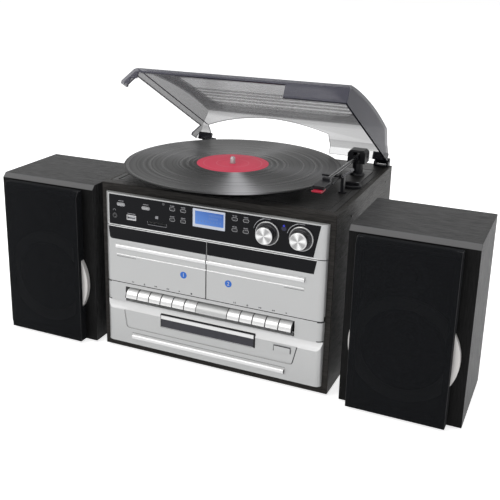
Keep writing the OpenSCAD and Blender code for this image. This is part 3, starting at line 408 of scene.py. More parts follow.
@cache
def ash() -> Tree:
    """Black-ash grain.

    Three inputs give how fast the pattern changes along X, Y and Z on faces that look along
    X, along Y and along Z.
    """
    g = Group("ash", "Shader", {"On X": "Vector", "On Y": "Vector", "On Z": "Vector"},
              {"Value": "Float", "Height": "Float", "Front": "Float", "Slope": "Float"})
    look = g.parts(g.vector("ABSOLUTE", g.node("ShaderNodeNewGeometry").outputs["Normal"]))
    chosen = g.given["On Y"]
    for axis in "XZ":
        chosen = g.mix(g.math("GREATER_THAN", look[axis], 0.6), chosen, g.given["On " + axis], "VECTOR")
    scaled = g.vector("MULTIPLY", g.place(), chosen)
    pores = g.span(g.noise(scaled, 55.0, 6.0, Roughness=0.68), 0.0, 1.0, 0.40, 0.60)
    bands = g.math("MULTIPLY", g.noise(scaled, 9.0, 3.0, Distortion=0.6), 0.45)
    # Mask of the rounded edges between the front and the top, on which Wood paints a highlight
    slope = g.span(g.math("MULTIPLY", look["Y"], look["Z"]), 0.0, 1.0, 0.2, 0.45)
    return g.close(Value=g.math("MULTIPLY_ADD", pores, 0.55, bands), Height=pores,
                   Front=g.math("GREATER_THAN", look["Y"], 0.75), Slope=slope)


@cache
def rings() -> Tree:
    """Turning marks or grooves: waves by the distance from an axis through a point.

    The axis runs along Y when Flat is 0 and along Z when it is 1.
    """
    g = Group("rings", "Shader", {"Centre": "Vector", "Pitch": 0.001, "Flat": 0.0},
              {"Wave": "Float", "Radius": "Float", "Turn": "Float"})
    away = g.parts(g.vector("SUBTRACT", g.place(), g.given["Centre"]))
    x, side = away["X"], g.mix(g.given["Flat"], away["Z"], away["Y"], "FLOAT")
    far = g.math("SQRT", g.math("ADD", g.math("MULTIPLY", x, x), g.math("MULTIPLY", side, side)))
    count = g.math("DIVIDE", far, g.given["Pitch"])
    return g.close(Wave=g.math("SINE", g.math("MULTIPLY", count, FULL_TURN)), Radius=far,
                   Turn=g.math("ARCTAN2", side, x))


@cache
def lobe() -> Tree:
    """Value that peaks at one turn round an axis and falls to both sides."""
    g = Group("lobe", "Shader", {"Turn": 0.0, "Middle": 0.0, "Narrow": 8.0}, {"Value": "Float"})
    near = g.math("COSINE", g.math("SUBTRACT", g.given["Turn"], g.given["Middle"]))
    return g.close(Value=g.math("POWER", g.math("MAXIMUM", near, 0.0), g.given["Narrow"]))


@cache
def weave() -> Tree:
    """Plain weave in the plane of X and Z: thread height and the holes between threads."""
    g = Group("weave", "Shader", {"Pitch": 0.0009}, {"Height": "Float", "Hole": "Float"})
    place = g.parts(g.place())
    waves = [g.math("SINE", g.math("MULTIPLY", g.math("DIVIDE", place[axis], g.given["Pitch"]), FULL_TURN))
             for axis in "XZ"]
    cross = g.math("MULTIPLY", *waves)
    return g.close(Height=cross, Hole=g.span(cross, 0.0, 1.0, 0.25, 0.75))


@cache
def panel() -> Tree:
    """Mask that is 1 inside a rectangle with round corners in the plane of X and Y."""
    g = Group("panel", "Shader", {"Vector": "Vector", "Centre": "Vector", "Half": "Vector", "Corner": 0.02},
              {"Inside": "Float"})
    corner, blur = g.given["Corner"], 0.0006
    away = g.vector("ABSOLUTE", g.vector("SUBTRACT", g.given["Vector"], g.given["Centre"]))
    inset = g.node("ShaderNodeCombineXYZ", {0: corner, 1: corner}).outputs[0]
    core = g.vector("SUBTRACT", g.given["Half"], inset)
    over = g.vector("MAXIMUM", g.vector("SUBTRACT", away, core))
    far = g.vector("LENGTH", g.vector("MULTIPLY", over, (1, 1, 0)))
    return g.close(Inside=g.span(g.math("SUBTRACT", far, corner), 0.0, 1.0, blur, -blur))


# Materials


class Paint(Wiring):
    """A node material under construction.

    Args:
        name: Name of the material.
    """

    def __init__(self, name: str) -> None:
        self.material = bpy.data.materials.new(name)
        self.material.use_nodes = True
        super().__init__(self.material.node_tree)
        self.shader = self.tree.nodes["Principled BSDF"]

    def set(self, **values: Value) -> None:
        """Feeds the shader's inputs; an underscore in a name stands for a space."""
        for label, value in values.items():
            self.feed(self.shader.inputs[label.replace("_", " ")], value)

    def use(self, group: Tree, **values: Value) -> bpy.types.NodeOutputs:
        """Adds a shared group, feeds its inputs and returns its outputs."""
        inputs = {label.replace("_", " "): value for label, value in values.items()}
        return self.node("ShaderNodeGroup", inputs, node_tree=group).outputs

    def shade(self, low: Colour, high: Colour, value: Socket) -> Socket:
        """Mixes two colours by a value from 0 to 1."""
        return self.mix(value, (*low, 1), (*high, 1))

    def tinted(self, colour: Colour, down: float, up: float, value: Socket) -> Socket:
        """Makes a colour darker or lighter by a value from 0 to 1."""
        return self.shade(tuple(c * down for c in colour), tuple(min(1.0, c * up) for c in colour), value)

    def bump(self, height: Socket, strength: float, distance: float) -> None:
        """Adds relief from a height."""
        inputs = {"Height": height, "Strength": strength, "Distance": distance}
        self.set(Normal=self.node("ShaderNodeBump", inputs).outputs["Normal"])


@dataclass(frozen=True)
class Dressing:
    """A finish.

    Args:
        name: Name of its material.
        slot: Material slot of the record; not used.
    """

    name: str
    slot: str

    def material(self) -> bpy.types.Material:
        """Returns the material, which is built on first use."""
        known = bpy.data.materials.get(self.name)
        if known:
            return known
        paint = Paint(self.name)
        self.apply(paint)
        return paint.material

    def apply(self, paint: Paint) -> None:
        """Builds the material."""
        raise NotImplementedError


@dataclass(frozen=True)
class Finish(Dressing):
    """Moulded plastic, lacquer or metal with a fine texture.

    Args:
        colour: Linear base colour.
        rough: Roughness.
        metal: Metallic.
        coat: Weight of a clear coat.
        grain: Scale of the fine texture.
        contrast: How far the texture changes the colour.
        bump: Strength of the texture's relief.
        alpha: Opacity.
        glow: Strength of the light it gives.
        ior: Index of refraction, which sets how much it mirrors.
        mirror: Level of what it mirrors.
    """

    colour: Colour
    rough: float = 0.5
    metal: float = 0.0
    coat: float = 0.0
    grain: float = 900.0
    contrast: float = 0.3
    bump: float = 0.08
    alpha: float = 1.0
    glow: float = 0.0
    ior: float = 1.4
    mirror: float = 0.5

    def apply(self, paint: Paint) -> None:
        """Builds the material."""
        grain = paint.use(speckle(), Scale=self.grain, Contrast=self.contrast)
        paint.set(Base_Color=paint.tinted(self.colour, 0.72, 1.28, grain["Value"]),
                  Roughness=paint.span(grain["Value"], max(0.03, self.rough - 0.1), self.rough + 0.1),
                  Metallic=self.metal, Coat_Weight=self.coat, Coat_Roughness=0.1, Alpha=self.alpha,
                  IOR=self.ior, Specular_IOR_Level=self.mirror)
        if self.glow:
            paint.set(Emission_Color=(*self.colour, 1), Emission_Strength=self.glow)
        paint.bump(grain["Height"], self.bump, 0.0002)


@dataclass(frozen=True)
class Wood(Dressing):
    """Black-ash foil. Its grain runs along a direction that depends on how a face looks.

    Args:
        pale: Colour between the pores.
        dark: Colour of the pores.
        on_x: Direction of the grain on faces that look along X.
        on_y: The same for Y.
        rough: Roughness.
        front: How dark the faces that look along Y are, against the others.
        slope: Colour of a painted highlight on the sloping edge between the front and the top, where that
            edge catches the light.
        mirror: Level of what it mirrors.
    """

    pale: Colour
    dark: Colour
    on_x: Axis = Axis.Z
    on_y: Axis = Axis.Z
    rough: float = 0.42
    front: float = 0.3
    slope: Colour = (0.05, 0.05, 0.05)
    mirror: float = 0.5

    def apply(self, paint: Paint) -> None:
        """Builds the material."""
        speeds = {f"On_{look}": tuple(1.0 if axis is along else 16.0 for axis in Axis)
                  for look, along in (("X", self.on_x), ("Y", self.on_y), ("Z", Axis.X))}
        grain = paint.use(ash(), **speeds)
        dim = paint.mix(grain["Front"], paint.shade(self.dark, self.pale, grain["Value"]),
                        (self.front, self.front, self.front, 1), blend="MULTIPLY")
        # Paints a highlight on the sloping edges between the front and the top
        paint.set(Base_Color=paint.mix(grain["Slope"], dim, (*self.slope, 1)),
                  Roughness=paint.span(grain["Value"], self.rough + 0.1, self.rough - 0.06),
                  IOR=1.3, Specular_IOR_Level=self.mirror)
        paint.bump(grain["Height"], 0.25, 0.00025)


@dataclass(frozen=True)
class Spun(Dressing):
    """Metal turned on a lathe, with light and dark wedges round its axis painted into its colour: painted
    highlights and painted shade that stand in for the reflections such a face shows.

    Args:
        centre: Point of the turning axis, which runs along Y, in case millimetres.
        colour: Linear colour of the metal.
        painted_fans: Number of painted light wedges round the face.
        start: Turn of the painted wedges in radians.
    """

    centre: Point
    colour: Colour = (0.72, 0.72, 0.72)
    painted_fans: float = 4.0
    start: float = 0.6

    def apply(self, paint: Paint) -> None:
        """Builds the material."""
        marks = paint.use(rings(), Centre=SITE.at(*self.centre), Pitch=0.0004)
        # Painted highlight and painted shade: the colour goes lighter and darker round the axis
        wave = paint.math("SINE", paint.math("MULTIPLY_ADD", marks["Turn"], self.painted_fans, self.start))
        fan = paint.span(wave, 0.0, 1.0, -0.6, 1.0)
        paint.set(Base_Color=paint.tinted(self.colour, 0.42, 1.0, fan), Metallic=0.75, Anisotropic=0.6,
                  Roughness=paint.span(marks["Wave"], 0.24, 0.34, -1.0, 1.0))
        paint.bump(marks["Wave"], 0.15, 0.00005)


@dataclass(frozen=True)
class Vinyl(Dressing):
    """Pressed record: fine grooves, quieter rings between the tracks and a painted reflection: wedges of
    light painted into its colour across them.

    Args:
        centre: Middle of the record in case millimetres.
        colour: Linear colour outside the painted reflection.
        painted_fans: Turn in radians, narrowness and strength of each painted light wedge.
    """

    centre: Point
    colour: Colour = (0.0115, 0.0120, 0.0120)
    painted_fans: tuple[Point, ...] = ((-1.08, 90.0, 0.95), (-1.12, 16.0, 0.10), (3.0, 24.0, 0.15),
                               (2.55, 120.0, 0.12), (0.05, 24.0, 0.15), (1.35, 50.0, 0.22))

    def apply(self, paint: Paint) -> None:
        """Builds the material."""
        grooves = paint.use(rings(), Centre=SITE.at(*self.centre), Pitch=0.0011, Flat=1.0)
        inputs = {"W": grooves["Radius"], "Scale": 230.0, "Detail": 4.0}
        track = paint.node("ShaderNodeTexNoise", inputs, noise_dimensions="1D").outputs["Fac"]
        # Painted reflection: light wedges by the turn round the centre, the strongest towards the camera
        light: Value = 0.0
        for middle, narrow, weight in self.painted_fans:
            fan = paint.use(lobe(), Middle=middle, Narrow=narrow, Turn=grooves["Turn"])
            light = paint.math("MULTIPLY_ADD", fan["Value"], weight, light)
        light = paint.math("MULTIPLY", light, paint.span(track, 0.75, 1.15, 0.35, 0.65))
        ground = paint.tinted(self.colour, 0.75, 1.5, track)
        tangent = paint.node("ShaderNodeTangent", direction_type="RADIAL", axis="Z")
        paint.set(Base_Color=paint.mix(light, ground, (0.42, 0.42, 0.44, 1)), Anisotropic=0.6,
                  Roughness=paint.span(track, 0.26, 0.4, 0.35, 0.65), Specular_IOR_Level=0.12,
                  Tangent=tangent.outputs[0])
        paint.bump(grooves["Wave"], 0.1, 0.00006)


@dataclass(frozen=True)
class Printed(Dressing):
    """Paper label with two printed rings.

    Args:
        centre: Middle of the label in case millimetres.
        colour: Linear colour of the paper.
    """

    centre: Point
    colour: Colour = (0.82, 0.045, 0.110)

    def apply(self, paint: Paint) -> None:
        """Builds the material."""
        ring = paint.use(rings(), Centre=SITE.at(*self.centre), Pitch=0.018, Flat=1.0)
        grain = paint.use(speckle(), Scale=700.0, Contrast=0.5)
        line = paint.span(ring["Wave"], 0.0, 0.55, 0.965, 0.99)
        both = paint.math("MULTIPLY_ADD", grain["Value"], 0.3, line)
        low = tuple(c * 0.86 for c in self.colour)
        paint.set(Base_Color=paint.shade(low, (0.74, 0.17, 0.22), both), Roughness=0.5,
                  Specular_IOR_Level=0.12)
        paint.bump(grain["Height"], 0.1, 0.0001)


@dataclass(frozen=True)
class Cloth(Dressing):
    """Thin black loudspeaker cloth that lets a little of what is behind it through.

    Args:
        colour: Linear colour of the threads.
        alpha: Opacity, a little less in the holes between threads.
    """

    colour: Colour = (0.0062, 0.0068, 0.0080)
    alpha: float = 0.965

    def apply(self, paint: Paint) -> None:
        """Builds the material."""
        threads = paint.use(weave(), Pitch=0.0011)
        fuzz = paint.use(speckle(), Scale=400.0, Contrast=0.7)
        paint.set(Base_Color=paint.tinted(self.colour, 0.7, 1.35, fuzz["Value"]), Roughness=0.9, IOR=1.2,
                  Sheen_Weight=0.02, Sheen_Roughness=0.4,
                  Alpha=paint.span(threads["Hole"], self.alpha, self.alpha - 0.05))
        paint.bump(threads["Height"], 0.3, 0.0002)


@dataclass(frozen=True)
class Screen(Dressing):
    """Lit blue display with its dot grid, deeper in colour towards its upper right.

    Args:
        low: Lower left corner of the lit field.
        high: Upper right corner.
        glow: Strength of its light.
    """

    low: Point
    high: Point
    glow: float = 0.32

    def apply(self, paint: Paint) -> None:
        """Builds the material."""
        place = paint.parts(paint.place())
        a, b = SITE.at(*self.low), SITE.at(*self.high)
        total = paint.math("ADD", paint.span(place["X"], 0.0, 0.55, a.x, b.x),
                           paint.span(place["Z"], 0.0, 0.45, a.z, b.z))
        tint = paint.shade((0.11, 0.24, 0.60), (0.045, 0.12, 0.40), total)
        grid = paint.use(weave(), Pitch=0.0008)
        lit = paint.mix(paint.span(grid["Hole"], 0.0, 0.18), tint, (0.03, 0.08, 0.28, 1))
        paint.set(Base_Color=lit, Emission_Color=lit, Emission_Strength=self.glow, Specular_IOR_Level=0.2,
                  Roughness=0.3)


@dataclass(frozen=True)
class Smoke(Dressing):
    """Clear smoke-grey plastic, paler in a rounded field on its top.

    Args:
        alpha: Opacity of one surface that is looked at straight.
        steep_alpha: Its opacity at a steep angle, where the way through the plastic is longer.
        field_share: Share of the opacity that is left inside the field.
        colour: Linear colour.
        tilt: Angle at which the lid stands, in degrees.
        pivot: The lid's pivot in case millimetres.
        centre: Middle of the field: across and forward from the pivot.
        half: Half the field's size.
        corner: Radius of its corners.
    """

    alpha: float = 0.20
    steep_alpha: float = 0.86
    field_share: float = 0.66
    colour: Colour = (0.050, 0.050, 0.070)
    tilt: float = 28.0
    pivot: Point = (0.0, 266.0, 247.0)
    centre: Pair = (17.0, 165.0)
    half: Pair = (109.0, 68.0)
    corner: float = 22.0

    def apply(self, paint: Paint) -> None:
        """Builds the material."""
        away = paint.vector("SUBTRACT", paint.place(), SITE.at(*self.pivot))
        lay = paint.node("ShaderNodeMapping", {"Rotation": (radians(self.tilt), 0, 0), "Vector": away})
        mask = paint.use(panel(), Corner=self.corner * MM, Vector=lay.outputs[0],
                         Centre=(self.centre[0] * MM, -self.centre[1] * MM, 0),
                         Half=(self.half[0] * MM, self.half[1] * MM, 0))
        grain = paint.use(speckle(), Scale=260.0, Contrast=0.3)
        facing = paint.node("ShaderNodeLayerWeight", {"Blend": 0.5}).outputs["Facing"]
        cover = paint.span(facing, self.alpha, self.steep_alpha, 0.08, 0.9)
        paint.set(Base_Color=paint.tinted(self.colour, 0.92, 1.08, grain["Value"]), Roughness=0.2,
                  Specular_IOR_Level=0.03,
                  Alpha=paint.math("MULTIPLY", cover, paint.span(mask["Inside"], 1.0, self.field_share)))


# Finishes

BLACK_PLASTIC = Finish("black_plastic", "deck_black", (0.011, 0.011, 0.0125), rough=0.42, grain=1400,
                       bump=0.15)
ARM_BLACK = Finish("arm_plastic", "arm_black", (0.0048, 0.0048, 0.0066), rough=0.36, mirror=0.3)
HINGE_BLACK = Finish("hinge_black", "arm_black", (0.0045, 0.0045, 0.008), rough=0.4, mirror=0.25)
# Near black: the drawer's own black plastic, and painted shade in the seams, gaps, key well and screw slots
BLACK_AND_GAP_SHADE = Finish("deep_black", "gloss_black", (0.004, 0.004, 0.005), rough=0.6, contrast=0.2, bump=0.05)
GLOSS_BLACK = Finish("gloss_lacquer", "gloss_black", (0.0042, 0.0044, 0.0062), rough=0.13, contrast=0.15,
                     bump=0.0, ior=1.33, mirror=0.2)
DRAWER_BLACK = Finish("drawer_gloss", "gloss_black", (0.012, 0.012, 0.022), rough=0.1, contrast=0.15,
                      bump=0.0, coat=0.08, mirror=0.55)
SILVER = Finish("silver_lacquer", "silver_moulding", (0.505, 0.51, 0.51), rough=0.38, metal=0.3,
                coat=0.2, grain=2500, contrast=0.2, bump=0.04)
# A lighter copy of the silver lacquer: a painted highlight on the ribs, lips, lines, drawer strip and ledge,
# where the silver catches the light
HIGHLIGHT_SILVER = Finish("bright_silver", "silver_moulding", (0.80, 0.805, 0.81), rough=0.24, metal=0.3, coat=0.4,
                grain=2500, contrast=0.15, bump=0.02)
SILVER_KEY = Finish("key_lacquer", "silver_key", (0.76, 0.76, 0.76), rough=0.24, metal=0.35, coat=0.4,
                    grain=2500, contrast=0.2, bump=0.03)
LINE_SILVER = Finish("line_silver", "silver_moulding", (0.42, 0.42, 0.43), rough=0.3, metal=0.6,
                     contrast=0.2)
RING_SILVER = Finish("ring_silver", "driver_silver", (0.72, 0.70, 0.685), rough=0.35, metal=0.1,
                     contrast=0.12, bump=0.02)
KNOB_SIDE = Finish("knob_side", "knob_metal", (0.17, 0.17, 0.175), rough=0.22, metal=0.95, contrast=0.15,
                   bump=0.02)
KNOB_EDGE = Finish("knob_edge", "knob_metal", (0.80, 0.80, 0.81), rough=0.2, metal=0.35, contrast=0.1,
                   bump=0.02)
KNOB_DARK = Finish("knob_dark", "knob_metal", (0.02, 0.02, 0.024), rough=0.3, coat=0.3)
GREY_BUTTON = Finish("button_plastic", "grey_button", (0.020, 0.020, 0.024), rough=0.3, mirror=0.4)
PALE_BUTTON = Finish("pale_button", "silver_button", (0.30, 0.30, 0.31), rough=0.25, metal=0.5, coat=0.3)
RUBBER = Finish("soft_rubber", "rubber", (0.018, 0.018, 0.018), rough=0.75, grain=2200, contrast=0.6,
                bump=0.3)
LIGHT_GREY = Finish("clip_grey", "light_grey", (0.15, 0.15, 0.16), rough=0.42, mirror=0.3)
REST_DARK = Finish("lever_dark", "arm_black", (0.020, 0.020, 0.023), rough=0.3, mirror=0.4)
STEEL = Finish("plated_steel", "socket_metal", (0.55, 0.55, 0.55), rough=0.25, metal=0.9)
MOTOR = Finish("motor_can", "motor_steel", (0.42, 0.42, 0.43), rough=0.33, metal=0.9, grain=300)
SCREW = Finish("black_screw", "screw_steel", (0.03, 0.03, 0.03), rough=0.3, metal=0.8)
BRASS = Finish("turned_brass", "pulley_brass", (0.55, 0.38, 0.13), rough=0.25, metal=1.0)
BOARD_GREEN = Finish("circuit_green", "circuit_board", (0.02, 0.09, 0.035), rough=0.4, coat=0.4,
                     grain=300, contrast=1.0)
IRON = Finish("iron_stack", "transformer_iron", (0.09, 0.075, 0.06), rough=0.55, metal=0.6, grain=500,
              contrast=0.8)
GREY_PLASTIC = Finish("housing_grey", "grey_plastic", (0.07, 0.07, 0.075), rough=0.5)
BACK_BOARD = Finish("pressed_board", "back_board", (0.02, 0.02, 0.02), rough=0.62, grain=1600,
                    contrast=0.6, bump=0.3)
SOCKET_BLACK = Finish("socket_black", "back_board", (0.012, 0.012, 0.013), rough=0.4)
# The red stylus carrier glows a little: painted light, as the carrier is no lamp
RED_PLASTIC_PAINTED_GLOW = Finish("red_plastic", "arm_black", (0.52, 0.018, 0.05), rough=0.3, coat=0.3, glow=0.08)
BLUE_DISC = Finish("blue_disc", "silver_moulding", (0.028, 0.16, 0.62), rough=0.35, contrast=0.1)
BLUE_LAMP = Finish("blue_lamp", "display", (0.02, 0.03, 0.45), rough=0.2, glow=0.35)
WHITE_MARK = Finish("white_mark", "display", (0.62, 0.63, 0.66), rough=0.5, contrast=0.1)
DIM_MARK = Finish("dim_mark", "display", (0.30, 0.30, 0.32), rough=0.5, contrast=0.1)
# Dark print for the key signs, and painted shade round the eject button, the drawer's opening and the
# recess's right edge
DARK_PRINT_AND_SHADE = Finish("dark_mark", "silver_moulding", (0.035, 0.035, 0.04), rough=0.5, contrast=0.2)
DIM_SHADE = Finish("line_shade", "silver_moulding", (0.13, 0.13, 0.13), rough=0.5, contrast=0.2)
BLUE_MARK = Finish("blue_mark", "display", (0.10, 0.20, 0.50), rough=0.4, glow=0.2)
CONE = Finish("paper_cone", "driver_silver", (0.02, 0.02, 0.021), rough=0.8, grain=800, contrast=0.6,
              bump=0.3)
DOME = Finish("dust_dome", "driver_silver", (0.05, 0.05, 0.055), rough=0.25, coat=0.4)
SMOKE_EDGE = Finish("smoke_edge", "smoke_lid", (0.020, 0.020, 0.034), rough=0.2, alpha=0.88,
                    contrast=0.1, bump=0.0, ior=1.25, mirror=0.2)
SMOKE_BAND = Finish("smoke_band", "smoke_lid", (0.082, 0.082, 0.112), rough=0.2, alpha=0.60,
                    contrast=0.0, bump=0.0, ior=1.25, mirror=0.2)
SMOKE_RIB = Finish("smoke_rib", "smoke_lid", (0.03, 0.03, 0.04), rough=0.15, alpha=0.22, contrast=0.1,
                   bump=0.0, ior=1.2)
SPINDLE_STEEL = Finish("spindle_steel", "knob_metal", (0.50, 0.50, 0.50), rough=0.3, metal=0.25,
                       contrast=0.2)
# The slope colours are painted highlights on the edges between the front and the top
CASE_WOOD = Wood("case_wood", "case_board", (0.044, 0.041, 0.038), (0.006, 0.0053, 0.005), on_x=Axis.Y,
                 on_y=Axis.X, front=0.95, slope=(0.026, 0.025, 0.024), mirror=0.2)
PLATE_WOOD = Wood("plate_wood", "deck_black", (0.022, 0.0215, 0.021), (0.008, 0.0078, 0.0077),
                  on_y=Axis.X, rough=0.4)
SPEAKER_WOOD = Wood("speaker_wood", "case_board", (0.062, 0.062, 0.063), (0.011, 0.011, 0.0113),
                    front=0.16, slope=(0.15, 0.15, 0.152), mirror=0.15)
BEZEL = Finish("display_bezel", "display", (0.60, 0.64, 0.74), rough=0.25, metal=0.2, coat=0.4,
               contrast=0.1)
# Painted glow of the standby lamp on the black window under it
PAINTED_LAMP_GLOW = Finish("lamp_tint", "display", (0.008, 0.009, 0.045), rough=0.2, contrast=0.1)
TUBE_BLACK = Finish("tube_black", "arm_black", (0.012, 0.012, 0.014), rough=0.22, metal=0.5, coat=0.5)


# Pieces


class Workshop:
    """Makes pieces, dresses CAD nodes and keeps a list for the log."""

    made: list[str] = []

    @classmethod
    def piece(cls, name: str, mesh: Mesh, body: Body | str, finish: Dressing, replaces: Sequence[str] = (),
              bevel: float = 0.0, segments: int = 2, more: Sequence[Dressing] = ()) -> Obj:
        """Makes an object from a mesh, gives it a material and lets it ride.

        Args:
            name: Name of the piece.
            mesh: Its mesh, in the frame's metres.
            body: CAD body that it moves with.
            finish: Its finish.
            replaces: CAD nodes that it stands for.
            bevel: Width of softened edges in millimetres.
            segments: Faces across the bevel.
            more: Finishes of the faces with material index 1 and up.

        Returns:
            The object.
        """
        chosen = [0] * len(mesh.polygons)
        mesh.polygons.foreach_get("material_index", chosen)
        mesh.materials.clear()
        for dressing in (finish, *more):
            mesh.materials.append(dressing.material())
        mesh.polygons.foreach_set("material_index", chosen)
        obj = bpy.data.objects.new(name, mesh)
        bpy.context.scene.collection.objects.link(obj)
        if bevel > 0:
            soft = obj.modifiers.new("soft_edges", "BEVEL")
            soft.width, soft.segments = bevel * MM, segments
            soft.limit_method, soft.angle_limit = "ANGLE", radians(30)
            soft.harden_normals = True
            bake(obj)
        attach(obj, body.value if isinstance(body, Body) else body)
        if replaces:
            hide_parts(*replaces)
        cls.made.append(name)
        return obj

    @classmethod
    def solid(cls, name: str, bm: BMesh, finish: Dressing, body: Body | str = Body.CASE, sharp: float = 35.0,
              **options: object) -> Obj:
        """Makes a piece from a bmesh in case millimetres; piece takes the options."""
        return cls.piece(name, mesh_of(bm, name, sharp), body, finish, **options)

    @classmethod
    def turned(cls, name: str, profile: Sequence[Pair], centre: Point, finish: Dressing,
               body: Body | str = Body.CASE, axis: Axis = Axis.Y, steps: int = 64, **options: object) -> Obj:
        """Makes a turned piece from (radius, height) pairs."""
        bm = bmesh.new()
        lathe(bm, profile, centre, axis, steps)
        return cls.solid(name, bm, finish, body, **options)

    @classmethod
    def plate(cls, name: str, outlines: Iterable[Sequence[Pair]], start: float, end: float, finish: Dressing,
              body: Body | str = Body.CASE, axis: Axis = Axis.Y, wrap: bool = False,
              **options: object) -> Obj:
        """Makes a piece from extruded outlines, bent round the moulding's ends if asked."""
        bm = bmesh.new()
        for outline in outlines:
            prism(bm, outline, start, end, axis)
        if wrap:
            wrap_round(bm)
        return cls.solid(name, bm, finish, body, **options)

    @classmethod
    def boxes(cls, name: str, corners: Iterable[tuple[Point, Point]], finish: Dressing,
              body: Body | str = Body.CASE) -> Obj:
        """Makes a piece from boxes, each given by two corners."""
        bm = bmesh.new()
        for low, high in corners:
            prism(bm, bar(*low[:2], *high[:2]), low[2], high[2], Axis.Z)
        return cls.solid(name, bm, finish, body)

    @classmethod
    def soften(cls, node: str, finish: Dressing, bevel: float, body: Body | str = Body.CASE,
               segments: int = 2) -> Obj:
        """Copies a CAD node and softens its edges."""
        mesh, bm = copied(node)
        bmesh.ops.dissolve_limit(bm, angle_limit=radians(0.5), verts=bm.verts, edges=bm.edges)
        return cls.piece(node + "_shell", store(bm, mesh, 35), body, finish, [node], bevel, segments)

    @classmethod
    def dress(cls, node: str, finish: Dressing) -> None:
        """Gives a CAD node a better material."""
        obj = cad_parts[node]
        obj.data.materials.clear()
        obj.data.materials.append(finish.material())
        cls.made.append(node)


# Geometry Nodes, each tree made once


class Growth(Group):
    """A Geometry Nodes tree that sets a shape on points.

    Args:
        name: Name of the tree.
        sizes: Names and kinds of its inputs.
    """

    def __init__(self, name: str, **sizes: str) -> None:
        super().__init__(name, "Geometry", {"Geometry": "Geometry", **sizes, "Material": "Material"},
                         {"Geometry": "Geometry"})

    def euler(self) -> Socket:
        """Turns the Tilt input into a rotation."""
        return self.node("FunctionNodeEulerToRotation", {0: self.given["Tilt"]}).outputs[0]

    def scatter(self, points: Socket, shape: Socket, rotation: Socket, **more: Socket) -> Socket:
        """Sets a shape on every point."""
        inputs = {"Points": points, "Instance": shape, "Rotation": rotation, **more}
        return self.node("GeometryNodeInstanceOnPoints", inputs).outputs["Instances"]

    def end(self, geometry: Socket) -> Tree:
        """Ends the tree in real geometry with its material."""
        real = self.node("GeometryNodeRealizeInstances", {"Geometry": geometry})
        inputs = {"Geometry": real.outputs["Geometry"], "Material": self.given["Material"]}
        return self.close(Geometry=self.node("GeometryNodeSetMaterial", inputs).outputs["Geometry"])


@cache
def studs() -> Tree:
    """A round or many-sided stud on every point of the mesh it is given."""
    g = Growth("studs_on_points", Sides="Int", Foot="Float", Head="Float", Depth="Float", Stretch="Vector",
               Tilt="Vector")
    stud = g.node("GeometryNodeMeshCone", {"Vertices": g.given["Sides"], "Radius Bottom": g.given["Foot"],
                                           "Radius Top": g.given["Head"], "Depth": g.given["Depth"]})
    return g.end(g.scatter(g.given["Geometry"], stud.outputs["Mesh"], g.euler(), Scale=g.given["Stretch"]))


@cache
def spokes() -> Tree:
    """Small blocks set round a circle, each looking outwards."""
    g = Growth("blocks_round_circle", Count="Int", Radius="Float", Block="Vector", Centre="Vector",
               Tilt="Vector")
    circle = g.node("GeometryNodeMeshCircle", {"Vertices": g.given["Count"], "Radius": g.given["Radius"]})
    block = g.node("GeometryNodeMeshCube", {"Size": g.given["Block"]})
    where = g.node("GeometryNodeInputPosition").outputs[0]
    look = g.node("FunctionNodeAlignRotationToVector", {"Vector": where}, axis="X")
    ring = g.scatter(circle.outputs["Mesh"], block.outputs["Mesh"], look.outputs[0])
    inputs = {"Geometry": ring, "Translation": g.given["Centre"], "Rotation": g.euler()}
    return g.end(g.node("GeometryNodeTransform", inputs).outputs["Geometry"])


@cache
def ribs() -> Tree:
    """Round bars along X, one through every point."""
    g = Growth("ribs_on_points", Length="Float", Radius="Float", Squash="Vector", Tilt="Vector")
    inputs = {"Vertices": 14, "Depth": g.given["Length"], "Radius": g.given["Radius"]}
    round_bar = g.node("GeometryNodeMeshCylinder", inputs).outputs["Mesh"]
    lie = g.node("GeometryNodeTransform", {"Rotation": (0, pi / 2, 0), "Geometry": round_bar})
    return g.end(g.scatter(g.given["Geometry"], lie.outputs["Geometry"], g.euler(), Scale=g.given["Squash"]))


def grown(name: str, tree: Tree, finish: Dressing, body: Body | str = Body.CASE, points: Sequence[Point] = (),
          **sizes: float | int | Point) -> Obj:
    """Runs a Geometry Nodes tree on a few points and keeps the plain mesh as a piece.

    Args:
        name: Name of the piece.
        tree: The tree.
        finish: Its finish.
        body: CAD body that the piece rides on.
        points: Points in case millimetres.
        sizes: The tree's inputs, in metres.

    Returns:
        The piece.
    """
    mesh = bpy.data.meshes.new(name)
    mesh.from_pydata([SITE.at(*p) for p in points], [], [])
    obj = bpy.data.objects.new(name, mesh)
    bpy.context.scene.collection.objects.link(obj)
    growth = obj.modifiers.new("growth", "NODES")
    growth.node_group = tree
    values = {**sizes, "Material": finish.material()}
    for item in tree.interface.items_tree:
        if item.item_type == "SOCKET" and item.in_out == "INPUT" and item.name in values:
            growth[item.identifier] = values[item.name]
    bake(obj)
    made = obj.data
    bpy.data.objects.remove(obj)
    bm = bmesh.new()
    bm.from_mesh(made)
    bmesh.ops.recalc_face_normals(bm, faces=bm.faces)
    return Workshop.piece(name, store(bm, made, 40), body, finish)


FLAT: Point = (1.0, 1.0, 1.0)
UPRIGHT: Point = (0.0, 0.0, 0.0)
TO_FRONT: Point = (pi / 2, 0.0, 0.0)
TO_BACK: Point = (-pi / 2, 0.0, 0.0)
TO_RIGHT: Point = (0.0, pi / 2, 0.0)
TO_LEFT: Point = (0.0, -pi / 2, 0.0)


# Studio


@dataclass(frozen=True)
class Lamp:
    """A soft square lamp: name, place and aim in metres, size, power and tint."""

    name: str
    place: Point
    aim: Point
    size: float
    power: float
    tint: Colour = (1.0, 1.0, 1.0)


